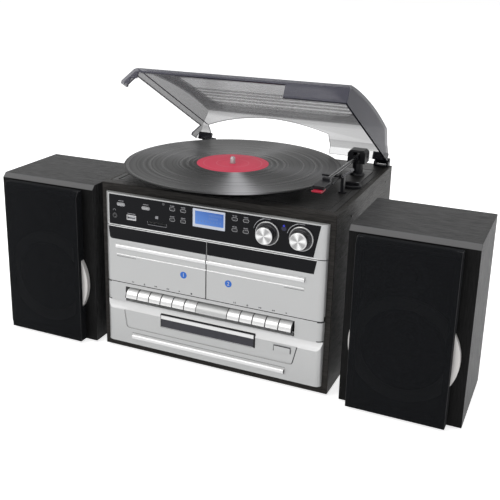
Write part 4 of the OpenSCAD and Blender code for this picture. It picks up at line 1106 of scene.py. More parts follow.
@dataclass(frozen=True)
class Studio:
    """Camera, floor, backdrop and lamps.

    Args:
        eye: Camera's place in case millimetres.
        azimuth: Degrees round the object; 0 looks along +Y.
        elevation: Degrees above the horizon.
        roll: Degrees by which the picture is turned.
        lens: Focal length for the sensor.
        sensor: Width of the sensor.
        shift: Shift of the picture's middle.
        floor_size: Side of the floor in metres.
        floor_glow: Light that the floor adds where the camera sees it.
        world_light: Strength of the light all round.
        lamps: The lamps.
    """

    eye: Point = (430.45, -910.37, 544.09)
    azimuth: float = 25.249
    elevation: float = 17.35
    roll: float = 0.68
    lens: float = 59.515
    sensor: float = 36.0
    shift: Pair = (0.0743, -0.0890)
    floor_size: float = 16.0
    floor_glow: float = 0.74
    world_light: float = 0.33
    lamps: tuple[Lamp, ...] = (
        Lamp("key_lamp", (-1.3, -1.9, 2.1), (0, 0, 0.15), 1.6, 28.0, (1.0, 0.99, 0.97)),
        Lamp("front_lamp", (0.3, -2.6, 0.9), (0, 0, 0.15), 1.4, 9.0),
        Lamp("side_lamp", (2.2, 0.1, 1.2), (0, 0.1, 0.1), 1.6, 6.0, (0.98, 0.99, 1.0)),
        Lamp("top_lamp", (0.0, 0.5, 2.4), (0, 0, 0.2), 1.8, 20.0))

    def build(self) -> None:
        """Makes everything round the object."""
        self._camera()
        self._floor()
        for lamp in self.lamps:
            self._hang(lamp)
        self._world()
        bpy.context.scene.view_settings.view_transform = "Standard"

    def _camera(self) -> None:
        """Puts the camera at the photograph's place."""
        a, e, r = radians(self.azimuth), radians(self.elevation), radians(self.roll)
        back = Vector((sin(a) * cos(e), -cos(a) * cos(e), sin(e)))
        right = Vector((cos(a), sin(a), 0))
        up = back.cross(right)
        turned = Matrix((right * cos(r) + up * sin(r), up * cos(r) - right * sin(r), back)).transposed()
        data = bpy.data.cameras.new("view_camera")
        data.lens, data.sensor_width = self.lens, self.sensor
        data.shift_x, data.shift_y = self.shift
        data.clip_start, data.clip_end = 0.05, 50
        cam = bpy.data.objects.new("view_camera", data)
        cam.matrix_world = Matrix.Translation(SITE.at(*self.eye)) @ turned.to_4x4()
        bpy.context.scene.collection.objects.link(cam)
        bpy.context.scene.camera = cam

    def _floor(self) -> None:
        """Makes the pale floor: it keeps a soft shadow and reads nearly white to the camera."""
        bm = bmesh.new()
        bmesh.ops.create_grid(bm, x_segments=1, y_segments=1, size=self.floor_size / 2)
        mesh = bpy.data.meshes.new("floor")
        bm.to_mesh(mesh)
        bm.free()
        floor = bpy.data.objects.new("floor", mesh)
        bpy.context.scene.collection.objects.link(floor)
        paint = Paint("floor_white")
        paint.set(Base_Color=(0.86, 0.86, 0.87, 1), Roughness=0.9)
        plain = paint.shader.outputs[0]
        glow = paint.node("ShaderNodeEmission", {"Strength": self.floor_glow}).outputs[0]
        lit = paint.node("ShaderNodeAddShader", {0: plain, 1: glow}).outputs[0]
        chosen = paint.node("ShaderNodeMixShader", {"Fac": paint.seen_ray(), 1: plain, 2: lit})
        paint.feed(paint.tree.nodes["Material Output"].inputs["Surface"], chosen.outputs[0])
        floor.data.materials.append(paint.material)

    def _hang(self, lamp: Lamp) -> None:
        """Hangs one lamp."""
        data = bpy.data.lights.new(lamp.name, "AREA")
        data.shape, data.size = "SQUARE", lamp.size
        data.energy, data.color = lamp.power, lamp.tint
        obj = bpy.data.objects.new(lamp.name, data)
        obj.location = lamp.place
        obj.rotation_euler = (Vector(lamp.aim) - Vector(lamp.place)).to_track_quat("-Z", "Y").to_euler()
        bpy.context.scene.collection.objects.link(obj)

    def _world(self) -> None:
        """Lights all round, white where it is seen."""
        world = bpy.data.worlds.new("studio_world")
        bpy.context.scene.world = world
        world.use_nodes = True
        wires = Wiring(world.node_tree)
        back = world.node_tree.nodes["Background"].inputs
        back["Color"].default_value = (1, 1, 1, 1)
        wires.feed(back["Strength"], wires.span(wires.seen_ray(), self.world_light, 1.0))


# Sub-assemblies


@dataclass
class Case:
    """The boards, the deck plate and the side screws.

    Args:
        half: Half the width of the case.
        screws: Places of the side screws, along Y and Z.
    """

    half: float = 165.0
    screws: tuple[Pair, ...] = ((64.0, 221.0), (236.0, 223.5), (27.5, 179.0))

    def build(self) -> None:
        """Makes the case."""
        Workshop.soften("cabinet", CASE_WOOD, 0.9, segments=3)
        Workshop.soften("deck_plate", PLATE_WOOD, 0.3, segments=1)
        Workshop.dress("rubber_feet", RUBBER)
        for side, tilt, label in ((-1, TO_LEFT, "left"), (1, TO_RIGHT, "right")):
            places = [(side * (self.half + 0.2), y, z) for y, z in self.screws]
            grown(f"side_screws_{label}", studs(), SCREW, points=places, Sides=16, Foot=0.0022, Head=0.0012,
                  Depth=0.0006, Stretch=FLAT, Tilt=tilt)


@dataclass
class InnerWorks:
    """What stands inside the case."""

    def build(self) -> None:
        """Dresses boards, transformer, bays and drive."""
        for node, finish in (("circuit_boards", BOARD_GREEN), ("transformer", IRON),
                             ("cassette_bays", BLACK_PLASTIC), ("disc_mechanism", GREY_PLASTIC),
                             ("turntable_motor", MOTOR)):
            Workshop.dress(node, finish)


@dataclass
class Rear:
    """Rear panel with its sockets, vents and screws.

    Args:
        panel_y: Outer face of the rear panel.
        row: First socket, their pitch, their lower level and the rise to the upper row.
        screw_at: Places of the screws.
        slot: Length and width of the slots in their heads.
    """

    panel_y: float = 268.0
    row: Corners = (-60.0, 20.0, 54.0, 18.0)
    screw_at: tuple[Pair, ...] = ((-148.0, 18.0), (-148.0, 120.0), (-148.0, 220.5),
                                  (148.0, 18.0), (148.0, 120.0), (148.0, 220.5))
    slot: Pair = (3.6, 0.7)

    def build(self) -> None:
        """Makes the rear."""
        Workshop.soften("rear_panel", BACK_BOARD, 0.25, segments=1)
        Workshop.dress("rear_sockets", SOCKET_BLACK)
        first, pitch, low, rise = self.row
        collar = [(2.1, -0.6), (2.1, -1.7), (2.4, -1.9), (3.4, -1.9), (3.9, -1.5), (5.6, -1.4), (6.0, -1.1),
                  (6.0, -0.6)]
        for i, (label, colour) in enumerate((("red", (0.45, 0.02, 0.02)), ("white", (0.6, 0.6, 0.58)),
                                             ("yellow", (0.6, 0.42, 0.02)), ("grey", (0.2, 0.2, 0.2)))):
            bm = bmesh.new()
            for level in (low, low + rise):
                lathe(bm, collar, (first + i * pitch, self.panel_y, level), Axis.Y, 40)
            Workshop.solid(f"socket_collars_{label}", bm,
                           Finish(f"socket_{label}", "back_board", colour, rough=0.35, coat=0.3))
        places = [(x, self.panel_y + 0.9, z) for x, z in self.screw_at]
        heads = grown("panel_screw_heads", studs(), SCREW, points=places, Sides=20, Foot=0.003, Head=0.0017,
                      Depth=0.0018, Stretch=FLAT, Tilt=TO_BACK)
        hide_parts("panel_screws")
        # Painted shade: dark slots on the screw heads
        near, far = self.panel_y + 1.5, self.panel_y + 1.85
        Workshop.boxes("screw_slot_shade", [
            ((x - w / 2, near, z - h / 2), (x + w / 2, far, z + h / 2))
            for x, z in self.screw_at for w, h in (self.slot, self.slot[::-1])], BLACK_AND_GAP_SHADE)


@dataclass
class RadioFront:
    """Window, display, buttons, knobs and sockets.

    Args:
        pills: The two long buttons: CAD node, place along X.
        pill_z: Their height.
        small: Places of the small buttons along X.
        rows: Heights of the two rows of small buttons.
        knobs: Knobs: CAD node and place along X.
        knob_z: Height of the knobs.
        screen: Display's outer edge.
        glass: Its lit field.
        cells: Rows of display cells: height, first place, pitch and count.
        cell: Width and height of a cell.
        socket_z: Height of the sockets.
        phones_x: Place of the headphone socket.
        stick_x: Place of the memory-stick socket.
        card: Left, bottom, right and top of the card slot's guide.
        eye: Place of the remote eye.
        lamp: Place of the standby lamp.
    """

    pills: tuple[tuple[str, float], ...] = (("power_button", -131.9), ("source_button", -93.7))
    pill_z: float = 213.95
    small: tuple[float, ...] = (-54.0, -38.0, 35.0, 50.4)
    rows: Pair = (218.45, 204.05)
    knobs: tuple[tuple[str, float], ...] = (("volume_knob", 79.497), ("tuning_knob", 123.981))
    knob_z: float = 206.75
    screen: Corners = (-23.8, 200.25, 21.8, 224.85)
    glass: Corners = (-20.8, 204.0, 19.6, 221.8)
    cells: tuple[tuple[float, float, float, int], ...] = (
        (216.6, -1.5, 2.7, 7), (212.2, -1.5, 2.7, 5), (207.6, -17.0, 4.4, 8))
    cell: Pair = (1.9, 2.6)
    socket_z: float = 197.45
    phones_x: float = -141.4
    stick_x: float = -115.9
    card: Corners = (-91.0, 191.9, -62.5, 196.2)
    eye: Pair = (-67.0, 223.4)
    lamp: Pair = (100.8, 219.7)

    def build(self) -> None:
        """Makes the radio section."""
        Workshop.soften("front_fascia", SILVER, 0.4)
        Workshop.dress("radio_window", GLOSS_BLACK)
        Workshop.dress("front_sockets", STEEL)
        self._display()
        self._buttons()
        for node, x in self.knobs:
            self._knob(node, (x, WINDOW, self.knob_z))
        self._sockets()
        self._marks()

    def _display(self) -> None:
        """Bevelled frame round a lit screen."""
        outer, inner = rounded(*self.screen, 0.8, 3), rounded(*self.glass, 0.5, 3)
        bm = bmesh.new()
        loops = [[bm.verts.new((x, y, z)) for x, z in outline] for outline, y in (
            (outer, -6.0), (outer, WINDOW - 0.75), (inner, WINDOW - 0.1), (inner, -5.0))]
        bridge(bm, loops, True)
        Workshop.solid("display_frame", bm, BEZEL, sharp=20, replaces=["lcd_display"])
        x0, z0, x1, z1 = self.glass
        Workshop.plate("display_screen", [inner], WINDOW + 1.2, WINDOW + 0.1,
                       Screen("lit_screen", "display", (x0, 0, z0), (x1, 0, z1)))
        w, h = self.cell
        cells = [rounded(x, row, x + w, row + h, 0.3, 1) for row, first, pitch, count in self.cells
                 for x in (first + i * pitch for i in range(count))]
        Workshop.plate("display_cells", cells, WINDOW + 0.1, WINDOW + 0.02, BLUE_MARK)

    def _buttons(self) -> None:
        """Crowned buttons with a pale outline."""
        for node, x in self.pills:
            self._crowned(node, x, self.pill_z, 11.5, PALE_BUTTON)
        for row, z in enumerate(self.rows):
            for i, x in enumerate(self.small):
                self._crowned(f"button_{row * 4 + i + 1}", x, z, 7.0, GREY_BUTTON)
        bm = bmesh.new()
        for x, z, w in [(x, self.pill_z, 12.5) for _, x in self.pills] + [
                (x, z, 8.0) for z in self.rows for x in self.small]:
            outer, inner = pill(x, z, w, 4.7, 6), pill(x, z, w - 0.7, 4.0, 6)
            bridge(bm, [[bm.verts.new((px, WINDOW + out, pz)) for px, pz in line] for line, out in (
                (outer, 0.3), (outer, -0.22), (inner, -0.22), (inner, 0.3))], True)
        Workshop.solid("button_surrounds", bm, LINE_SILVER)

    def _crowned(self, node: str, x: float, z: float, w: float, finish: Dressing, h: float = 3.6) -> None:
        """One button: a bar with round ends whose face is crowned."""
        bm = bmesh.new()
        loops = [[bm.verts.new((px, WINDOW + out, pz))
                  for px, pz in pill(x, z, w - 2 * inset, h - 2 * inset, 6)]
                 for inset, out in ((0.0, 4.0), (0.0, -0.45), (0.35, -0.85), (1.0, -1.0))]
        bridge(bm, loops)
        bm.faces.new(loops[0])
        bm.faces.new(loops[-1])
        Workshop.solid(node + "_cap", bm, finish, node, replaces=[node])

    def _knob(self, node: str, at: Point) -> None:
        """Skirt ring, dark groove, waisted grip, bright chamfer and spun face."""
        skirt = [(14.3, 0.35), (15.6, 0.35), (15.6, 1.3), (15.3, 2.0), (14.95, 2.2), (14.6, 1.9), (14.3, 1.2)]
        groove = [(0, 0.5), (14.35, 0.5), (14.35, 1.1), (12.3, 1.3), (11.8, 2.8), (0, 2.8)]
        grip = [(0, 2.4), (11.9, 2.4), (12.2, 3.4), (11.6, 4.6), (11.35, 11.6), (11.2, 12.2)]
        chamfer = [(11.2, 12.2), (11.0, 12.9), (10.2, 13.6), (9.9, 13.6), (9.8, 13.2)]
        face = [(9.9, 12.4), (9.85, 13.35), (6.0, 13.5), (0.6, 13.55), (0, 13.5)]
        spun = Spun(node + "_spun", "knob_metal", at)
        Workshop.turned(node + "_skirt", skirt, at, KNOB_EDGE, node, steps=96, replaces=[node])
        Workshop.turned(node + "_groove", groove, at, KNOB_DARK, node)
        Workshop.turned(node + "_grip", grip, at, KNOB_SIDE, node, steps=96)
        Workshop.turned(node + "_chamfer", chamfer, at, KNOB_EDGE, node, steps=96, sharp=20)
        Workshop.turned(node + "_face", face, at, spun, node, steps=96, sharp=60)
        x, y, z = at
        grown(node + "_flutes", spokes(), KNOB_DARK, node, Count=60, Radius=0.01142, Tilt=TO_FRONT,
              Block=(0.0003, 0.00035, 0.0052), Centre=tuple(SITE.at(x, y - 8.0, z)))

    def _sockets(self) -> None:
        """Headphone collar, memory-stick tongue, card slot lips, the lamps and a painted glow under the
        standby lamp.
        """
        x, z = self.stick_x, self.socket_z
        collar = [(1.9, 0.2), (1.9, 0.9), (2.3, 1.1), (3.2, 1.0), (3.7, 0.6), (3.7, 0.0)]
        Workshop.turned("headphone_collar", collar, (self.phones_x, WINDOW, z), KNOB_DARK, steps=40)
        left, low, right, high = self.card
        card = path_strip([(left, high), (left, low), (right, low), (right, high)], 0.5)
        for name, outline, deep, proud, finish in (
                ("stick_tongue", rounded(x - 5.0, z + 0.5, x + 5.0, z + 2.1, 0.2, 2), 6.0, 0.1, WHITE_MARK),
                ("stick_floor", rounded(x - 5.4, z - 2.4, x + 5.4, z - 1.6, 0.2, 2), 6.0, 0.15, WHITE_MARK),
                ("card_guide", card, 0.2, 0.12, DIM_MARK)):
            Workshop.plate(name, [outline], WINDOW + deep, WINDOW - proud, finish)
        for name, profile, (x, z), finish in (
                ("remote_eye", [(0, 0.55), (1.2, 0.45), (1.9, 0.1), (1.9, -0.2)], self.eye, GREY_PLASTIC),
                ("standby_lamp", [(0, 0.8), (1.0, 0.7), (1.5, 0.1), (1.5, -0.2)], self.lamp, BLUE_LAMP)):
            Workshop.turned(name, profile, (x, WINDOW, z), finish, steps=24)
        # Painted glow of the standby lamp on the window under it
        x, z = self.lamp
        glow = [(x + 3.4 * cos(a / 8 * pi), z - 3.5 + 3.0 * sin(a / 8 * pi)) for a in range(16)]
        Workshop.plate("lamp_glow", [glow], WINDOW + 0.2, WINDOW - 0.04, PAINTED_LAMP_GLOW)

    def _marks(self) -> None:
        """Plain signs over the controls and the arcs beside the knobs."""
        signs = []
        for z in self.rows:
            for i, x in enumerate(self.small):
                signs += [rounded(x - 3.2, z + 3.6, x - 0.9 + 0.4 * (i % 2), z + 4.7, 0.2, 1),
                          rounded(x - 0.2, z + 3.6, x + 2.9, z + 4.7, 0.2, 1)]
        bars = [(x - 4.0, self.pill_z + 4.4, x + 4.0, self.pill_z + 5.3) for _, x in self.pills]
        bars += [(-122.0, 202.4, -110.0, 203.3)]
        bars += [(x - 4.0, self.knob_z + 18.0, x + 4.0, self.knob_z + 18.8) for _, x in self.knobs]
        signs += [rounded(*corners, 0.2, 1) for corners in bars]
        signs.append(path_strip(arc(-142.2, 204.6, 1.8, -20, 200, 10), 0.5))
        signs.append([(-79.5, 201.5), (-75.0, 201.5), (-75.0, 205.4), (-78.3, 205.4), (-79.5, 204.4)])
        Workshop.plate("control_signs", signs, WINDOW + 0.2, WINDOW - 0.06, DIM_MARK)
        arcs = []
        for _, x in self.knobs:
            inner = [(x + (18.9 - 0.45 * i / 16) * cos(radians(168 - 4 * i)),
                      self.knob_z + (18.9 - 0.45 * i / 16) * sin(radians(168 - 4 * i))) for i in range(17)]
            arcs.append(arc(x, self.knob_z, 19.2, 104, 168, 16) + inner)
        Workshop.plate("knob_arcs", arcs, WINDOW + 0.2, WINDOW - 0.08, WHITE_MARK)


class Sign(Enum):
    """Plain tape-deck signs."""

    PAUSE = "pause"
    STOP = "stop"
    FORWARD = "forward"
    BACK = "back"
    PLAY = "play"
    RECORD = "record"

    def outlines(self, x: float, z: float) -> list[list[Pair]]:
        """Outlines of the sign at a place."""
        if self is Sign.PAUSE:
            return [rounded(x + s - 0.4, z - 1.2, x + s + 0.4, z + 1.2, 0.1, 1) for s in (-1, 1)]
        if self is Sign.STOP:
            return [rounded(x - 1.2, z - 1.6, x + 1.2, z - 1.0, 0.1, 1),
                    [(x - 1.3, z - 0.6), (x + 1.3, z - 0.6), (x, z + 1.4)]]
        if self is Sign.RECORD:
            return [arc(x, z, 1.3, 0, 345, 15)]
        step = -1.0 if self is Sign.BACK else 1.0
        places = [0.0] if self is Sign.PLAY else [-1.1, 1.1]
        return [[(x + p - step, z - 1.2), (x + p + step, z), (x + p - step, z + 1.2)] for p in places]


@dataclass
class CassetteFront:
    """Doors with their black bands, ribs and discs, and the keys below.

    Args:
        band: Bottom and top of the black band.
        split: Gap between the doors.
        rib: Height of the round rib and its radius.
        fine_rib: The same of the fine rib.
        discs: Numbered discs: place along X.
        disc_z: Their height.
        disc_r: Their radius.
        keys: Side, left end and signs of each row of keys.
        pitch: Pitch of the keys.
        key: Lower edge, hinge side and radius of a key's side outline.
        sign_z: Height of the signs over the keys.
    """

    band: Pair = (163.8, 182.0)
    split: float = -3.8
    rib: Pair = (154.0, 3.3)
    fine_rib: Pair = (142.3, 0.9)
    discs: Pair = (-37.4, 27.7)
    disc_z: float = 129.4
    disc_r: float = 4.8
    keys: tuple[tuple[str, float, tuple[Sign, ...]], ...] = (
        ("left", -124.0, (Sign.PAUSE, Sign.STOP, Sign.FORWARD, Sign.BACK, Sign.PLAY, Sign.RECORD)),
        ("right", 28.2, (Sign.PAUSE, Sign.STOP, Sign.FORWARD, Sign.BACK, Sign.PLAY)))
    pitch: float = 17.9
    key: Point = (82.0, -1.2, 12.0)
    sign_z: float = 104.9

    def build(self) -> None:
        """Makes the doors and the keys."""
        for side in ("left", "right"):
            Workshop.soften("door_" + side, SILVER, 0.35, "door_" + side)
        self._bands()
        self._ribs()
        self._discs()
        for side, first, signs in self.keys:
            self._keys(side, first, len(signs))
        # Painted shade: dark linings of the well round the keys
        well = (((-127.5, 28.0, 74.6), (121.0, 29.2, 97.6)), ((-127.5, 0.2, 97.0), (121.0, 28.6, 97.9)),
                ((-127.5, 0.2, 74.2), (121.0, 28.6, 75.0)))
        Workshop.boxes("key_well_shade", well, BLACK_AND_GAP_SHADE)
        self._seams()
        for side, first, signs in self.keys:
            outlines = [line for i, sign in enumerate(signs)
                        for line in sign.outlines(first + self.pitch * (i + 0.5), self.sign_z)]
            Workshop.plate("key_signs_" + side, outlines, FRONT + 0.2, FRONT - 0.05, DARK_PRINT_AND_SHADE,
                           "door_" + side)

    def _keys(self, side: str, first: float, count: int) -> None:
        """Quarter-round keys with a flat above, and dark dividers between them: painted shade in the gaps."""
        low, back, r = self.key

        def quarter(radius: float, step: int) -> list[Pair]:
            """Rounded front of a key's side outline."""
            return [(back - radius * cos(radians(a)), low + radius * sin(radians(a)))
                    for a in range(0, 91, step)]

        lever = [(back + 1.5, low + r), (back + 1.5, 91.0), (20.0, 91.0), (20.0, 85.0), (back, low)]
        for i in range(count):
            node, left = f"key_{side}_{i + 1}", first + i * self.pitch
            Workshop.plate(node + "_cap", [quarter(r, 6) + lever], left + 0.45, left + self.pitch - 0.45,
                           SILVER_KEY, node, Axis.X, sharp=30, replaces=[node], bevel=0.7, segments=3)
        dark = bmesh.new()
        for x in (first + i * self.pitch for i in range(count + 1)):
            prism(dark, quarter(r - 0.2, 10) + [(back, low)], x - 0.32, x + 0.32, Axis.X)
        Workshop.solid("key_gap_shade_" + side, dark, BLACK_AND_GAP_SHADE)

    def _seams(self) -> None:
        """Dark linings of the gaps round the doors and under the keys' section: painted shade in the gaps."""
        edge = -HALF_FRONT
        lining = [(edge, -0.8), (edge, -1.6)] + [
            (edge + 8.8 * (1 - cos(radians(a))), -6.85 * sin(radians(a))) for a in range(20, 91, 10)]
        lining += [(-x, y) for x, y in lining[::-1]]
        for name, z in (("upper", 182.35), ("middle", 101.0)):
            Workshop.plate("seam_" + name, [lining], z, z + 0.12, BLACK_AND_GAP_SHADE, axis=Axis.Z)
        x = self.split - 1.3
        gaps = [((x, FRONT - 0.06, low), (x + 1.05, FRONT + 0.3, high))
                for low, high in ((101.9, 140.9), (143.7, 150.2), (157.8, 163.6))]
        Workshop.boxes("seam_split", gaps, BLACK_AND_GAP_SHADE, Body.DOOR_LEFT)
        for name, low, high in (("door", 99.85, 100.97), ("lower", 73.55, 74.9)):
            Workshop.plate("seam_" + name, [bar(edge, low, -edge, high)], FRONT + 0.3, FRONT - 0.04,
                           BLACK_AND_GAP_SHADE, wrap=True)

    def _bands(self) -> None:
        """Black bands along the doors' upper edges, with a painted highlight line over them; painted shade in
        the gap under the window and a painted highlight on its lip.
        """
        z0, z1 = self.band
        left = [(self.split - 0.5, z0), (self.split - 0.5, z1), (-152.6, z1),
                *arc(-146.6, z0 + 4, 4, 180, 270, 6)]
        right = [(self.split + 0.5, z0), (142.0, z0), (145.3, z1), (self.split + 0.5, z1)]
        for side, outline, edge, near in (("left", left, -152.6, -0.3), ("right", right, 145.3, 0.3)):
            line = bar(self.split + near, z1 - 0.45, edge, z1 + 0.45)
            for name, shape, proud, finish in (("door_band_", outline, 0.12, GLOSS_BLACK),
                                               ("door_line_", line, 0.16, HIGHLIGHT_SILVER)):
                Workshop.plate(name + side, [shape], FRONT + 0.4, FRONT - proud, finish, "door_" + side,
                               wrap=True)
        lip = [(-152.8, 183.75), (146.2, 183.75), (146.4, 184.9), (-152.8, 184.9)]
        gap = bar(-157.2, 182.95, 157.2, 183.65)
        for name, outline, proud, finish in (("window_gap_shade", gap, 0.06, BLACK_AND_GAP_SHADE),
                                             ("window_lip", lip, 0.1, HIGHLIGHT_SILVER)):
            Workshop.plate(name, [outline], FRONT + 0.4, FRONT - proud, finish, wrap=True)

    def _ribs(self) -> None:
        """Covers in the highlight silver on the round ribs, a painted highlight, and dark lines of painted
        shade for the grooves at the ends of the fine ones.
        """
        for side, x0, x1 in (("left", -140.0, self.split - 0.7), ("right", self.split + 0.7, 131.0)):
            outlines = [rib(*self.rib, 0.12), rib(*self.fine_rib, 0.08)]
            Workshop.plate("door_ribs_" + side, outlines, x0, x1, HIGHLIGHT_SILVER, "door_" + side, Axis.X, sharp=40,
                           bevel=0.2)
        for side, x0, x1 in (("left", -140, -110), ("right", 104, 131)):
            Workshop.plate("groove_" + side, [rounded(x0, 139.2, x1, 139.9, 0.3, 2)], FRONT + 0.3,
                           FRONT - 0.05, DIM_SHADE, "door_" + side)

    def _discs(self) -> None:
        """Blue discs with a white numeral."""
        r = self.disc_r
        for body, x, numeral in zip((Body.DOOR_LEFT, Body.DOOR_RIGHT), self.discs, "12"):
            Workshop.turned("deck_disc_" + numeral, [(0, 0.3), (r - 0.4, 0.28), (r, 0.12), (r, -0.3)],
                            (x, FRONT, self.disc_z), BLUE_DISC, body, steps=48)
            curve = bpy.data.curves.new("numeral_" + numeral, "FONT")
            curve.body, curve.size, curve.extrude = numeral, 7.4, 0.12
            curve.align_x = curve.align_y = "CENTER"
            text = bpy.data.objects.new("numeral_" + numeral, curve)
            bpy.context.scene.collection.objects.link(text)
            bpy.context.view_layer.update()
            mesh = bpy.data.meshes.new_from_object(text.evaluated_get(bpy.context.evaluated_depsgraph_get()))
            bpy.data.objects.remove(text)
            bpy.data.curves.remove(curve)
            bm = bmesh.new()
            bm.from_mesh(mesh)
            bm.transform(Matrix.Translation((x, FRONT - 0.3, self.disc_z)) @ Matrix.Rotation(pi / 2, 4, "X"))
            Workshop.solid("deck_numeral_" + numeral, bm, WHITE_MARK, body)


@dataclass
class DiscFront:
    """Drawer section: ledge, drawer front, eject button and rib.

    Args:
        tray: Drawer front: left, bottom, right, top.
        rib_at: Left and right end of the rib.
        rib: Its height and radius.
        ledge: Heights between which the sloping ledge lies.
    """

    tray: Corners = (-72.25, 47.0, 66.25, 65.5)
    rib_at: Pair = (-116.5, 108.5)
    rib: Pair = (23.0, 3.6)
    ledge: Pair = (60.8, 73.0)

    def build(self) -> None:
        """Makes the disc section."""
        self._moulding()
        self._drawer()
        Workshop.soften("eject_button", SILVER, 0.35, Body.EJECT, 3)
        shadow = path_strip([(93.0, 49.2), (93.0, 57.0), (115.8, 57.0), (115.8, 49.2)], 1.25)
        Workshop.plate("eject_shadow", [shadow], FRONT + 0.2, FRONT - 0.05, DARK_PRINT_AND_SHADE)
        left, right = self.rib_at
        # The lower rib is made in the highlight silver: a painted highlight
        Workshop.plate("lower_rib", [rib(*self.rib, 0.12)], left, right, HIGHLIGHT_SILVER, axis=Axis.X, sharp=40,
                       bevel=0.2)
        self._lines(left, right)

    def _moulding(self) -> None:
        """Softens the moulding and paints a highlight on its upward-sloping ledge in the highlight silver."""
        shell = Workshop.soften("disc_fascia", SILVER, 0.35)
        shell.data.materials.append(HIGHLIGHT_SILVER.material())
        low, high = (SITE.at(0, 0, z).z for z in self.ledge)
        for face in shell.data.polygons:
            if 0.15 < face.normal.z < 0.97 and face.normal.y < -0.2 and low < face.center.z < high:
                face.material_index = 1

    def _drawer(self) -> None:
        """Drawer front with its silver strip, painted lighter in the highlight silver, and its sill."""
        x0, z0, x1, _ = self.tray
        y = FRONT - 0.6
        Workshop.dress("disc_tray", BLACK_AND_GAP_SHADE)
        Workshop.plate("tray_face", [rounded(x0 + 1.2, z0 + 1.2, x1 - 1.2, 59.2, 0.5, 2)], y + 0.5, y - 0.35,
                       DRAWER_BLACK, Body.TRAY, bevel=0.25)
        strip = [(y + 0.4, 59.6), (y - 0.55, 59.6), (y - 0.75, 60.3), (y - 0.3, 64.2), (y + 0.2, 65.0),
                 (y + 0.4, 65.0)]
        Workshop.plate("tray_strip", [strip], x0 + 0.9, x1 - 0.9, HIGHLIGHT_SILVER, Body.TRAY, Axis.X, bevel=0.2)
        sill = rounded(x0 + 0.9, z0 + 0.25, x1 - 0.9, z0 + 0.9, 0.25, 2)
        Workshop.plate("tray_sill", [sill], y + 0.4, y - 0.25, LINE_SILVER, Body.TRAY)

    def _lines(self, left: float, right: float) -> None:
        """Dark lines of painted shade along the recess, round the drawer's opening and under the rib."""
        x0, z0, x1, z1 = self.tray
        recess = [(-129.9, 60.6), (-126.6, 38.2), (-124.6, 35.4), (-121.5, 34.9), (114.5, 34.9),
                  (118.0, 35.4), (119.8, 38.2), (125.0, 60.6)]
        edge = [(118.0, 36.2), (119.2, 38.6), (124.2, 60.4)]
        opening = [(x0 - 0.5, z1 - 0.4), (x0 - 0.5, z0 - 0.6), (x1 + 0.5, z0 - 0.6), (x1 + 0.5, z1 - 0.4)]
        for name, outline, deep, proud, finish in (
                ("rib_groove_shade", rounded(left - 1, 28.2, right + 1, 28.8, 0.25, 2), 0.2, 0.04, DIM_SHADE),
                ("recess_shade_line", path_strip(recess, 0.55), 0.2, 0.05, DIM_SHADE),
                ("recess_edge_shade", path_strip(edge, 0.9), 0.2, 0.07, DARK_PRINT_AND_SHADE),
                ("tray_gap_shade", path_strip(opening, 0.7), 1.2, -0.68, DARK_PRINT_AND_SHADE)):
            Workshop.plate(name, [outline], FRONT + deep, FRONT - proud, finish)


@dataclass
class RecordDeck:
    """Platter, mat, record and drive.

    Args:
        centre: Middle of the platter, at the record's underside.
        record_r: Radius of the record.
        label_r: Radius of its label.
        thick: Thickness of the record.
        bore: Radius of its hole.
    """

    centre: Point = (-20.4, 108.7, 256.3)
    record_r: float = 150.6
    label_r: float = 50.0
    thick: float = 2.0
    bore: float = 3.64

    def _turned(self, name: str, profile: Sequence[Pair], finish: Dressing, steps: int = 96,
                replaces: Sequence[str] = ()) -> None:
        """Makes a turned piece on the platter's axis."""
        Workshop.turned(name, profile, self.centre, finish, Body.PLATTER, Axis.Z, steps, replaces=replaces)

    def build(self) -> None:
        """Makes the deck."""
        x, y, z = self.centre
        Workshop.dress("platter", MOTOR)
        grown("strobe_marks", spokes(), BLACK_PLASTIC, Body.PLATTER, Count=120, Radius=0.0979, Tilt=UPRIGHT,
              Block=(0.0005, 0.0024, 0.004), Centre=tuple(SITE.at(x, y, 250.5)))
        mat = [(3.7, 254.0), (97.1, 254.0), (97.1, 256.0), (96.2, 256.32), (90.0, 256.22), (3.7, 256.22),
               (3.7, 254.0)]
        self._turned("platter_mat", [(r, level - z) for r, level in mat], RUBBER)
        r, t, paper, bore = self.record_r, self.thick, self.label_r, self.bore
        disc = [(bore, 0.0), (paper + 2, 0.0), (paper + 6, 0.3), (r - 6, 0.3), (r - 2, 0.0), (r - 0.6, 0.2),
                (r, t / 2), (r - 0.6, t - 0.15), (r - 2, t), (r - 5, t - 0.15), (r - 6.5, t - 0.32),
                (paper + 9, t - 0.32), (paper + 6, t - 0.1), (paper + 2, t), (bore, t), (bore, 0.0)]
        self._turned("record_disc", disc, Vinyl("record_vinyl", "vinyl", self.centre), 160, ["record"])
        label = [(bore + 0.3, -0.05), (bore + 0.3, 0.06), (14.5, 0.06), (14.9, 0.02), (15.5, 0.02),
                 (15.9, 0.07), (paper - 0.4, 0.07), (paper, 0.03), (paper, -0.05)]
        self._turned("record_label", [(u, t + h) for u, h in label],
                     Printed("label_paper", "vinyl", self.centre))
        tip = [(3.58, 0.02), (3.58, 6.9), (3.2, 7.6), (2.2, 8.6), (1.0, 9.0), (0, 9.05)]
        self._turned("spindle_tip", [(u, t + h) for u, h in tip], SPINDLE_STEEL, 40)
        Workshop.dress("motor_pulley", BRASS)
        Workshop.dress("drive_belt", RUBBER)


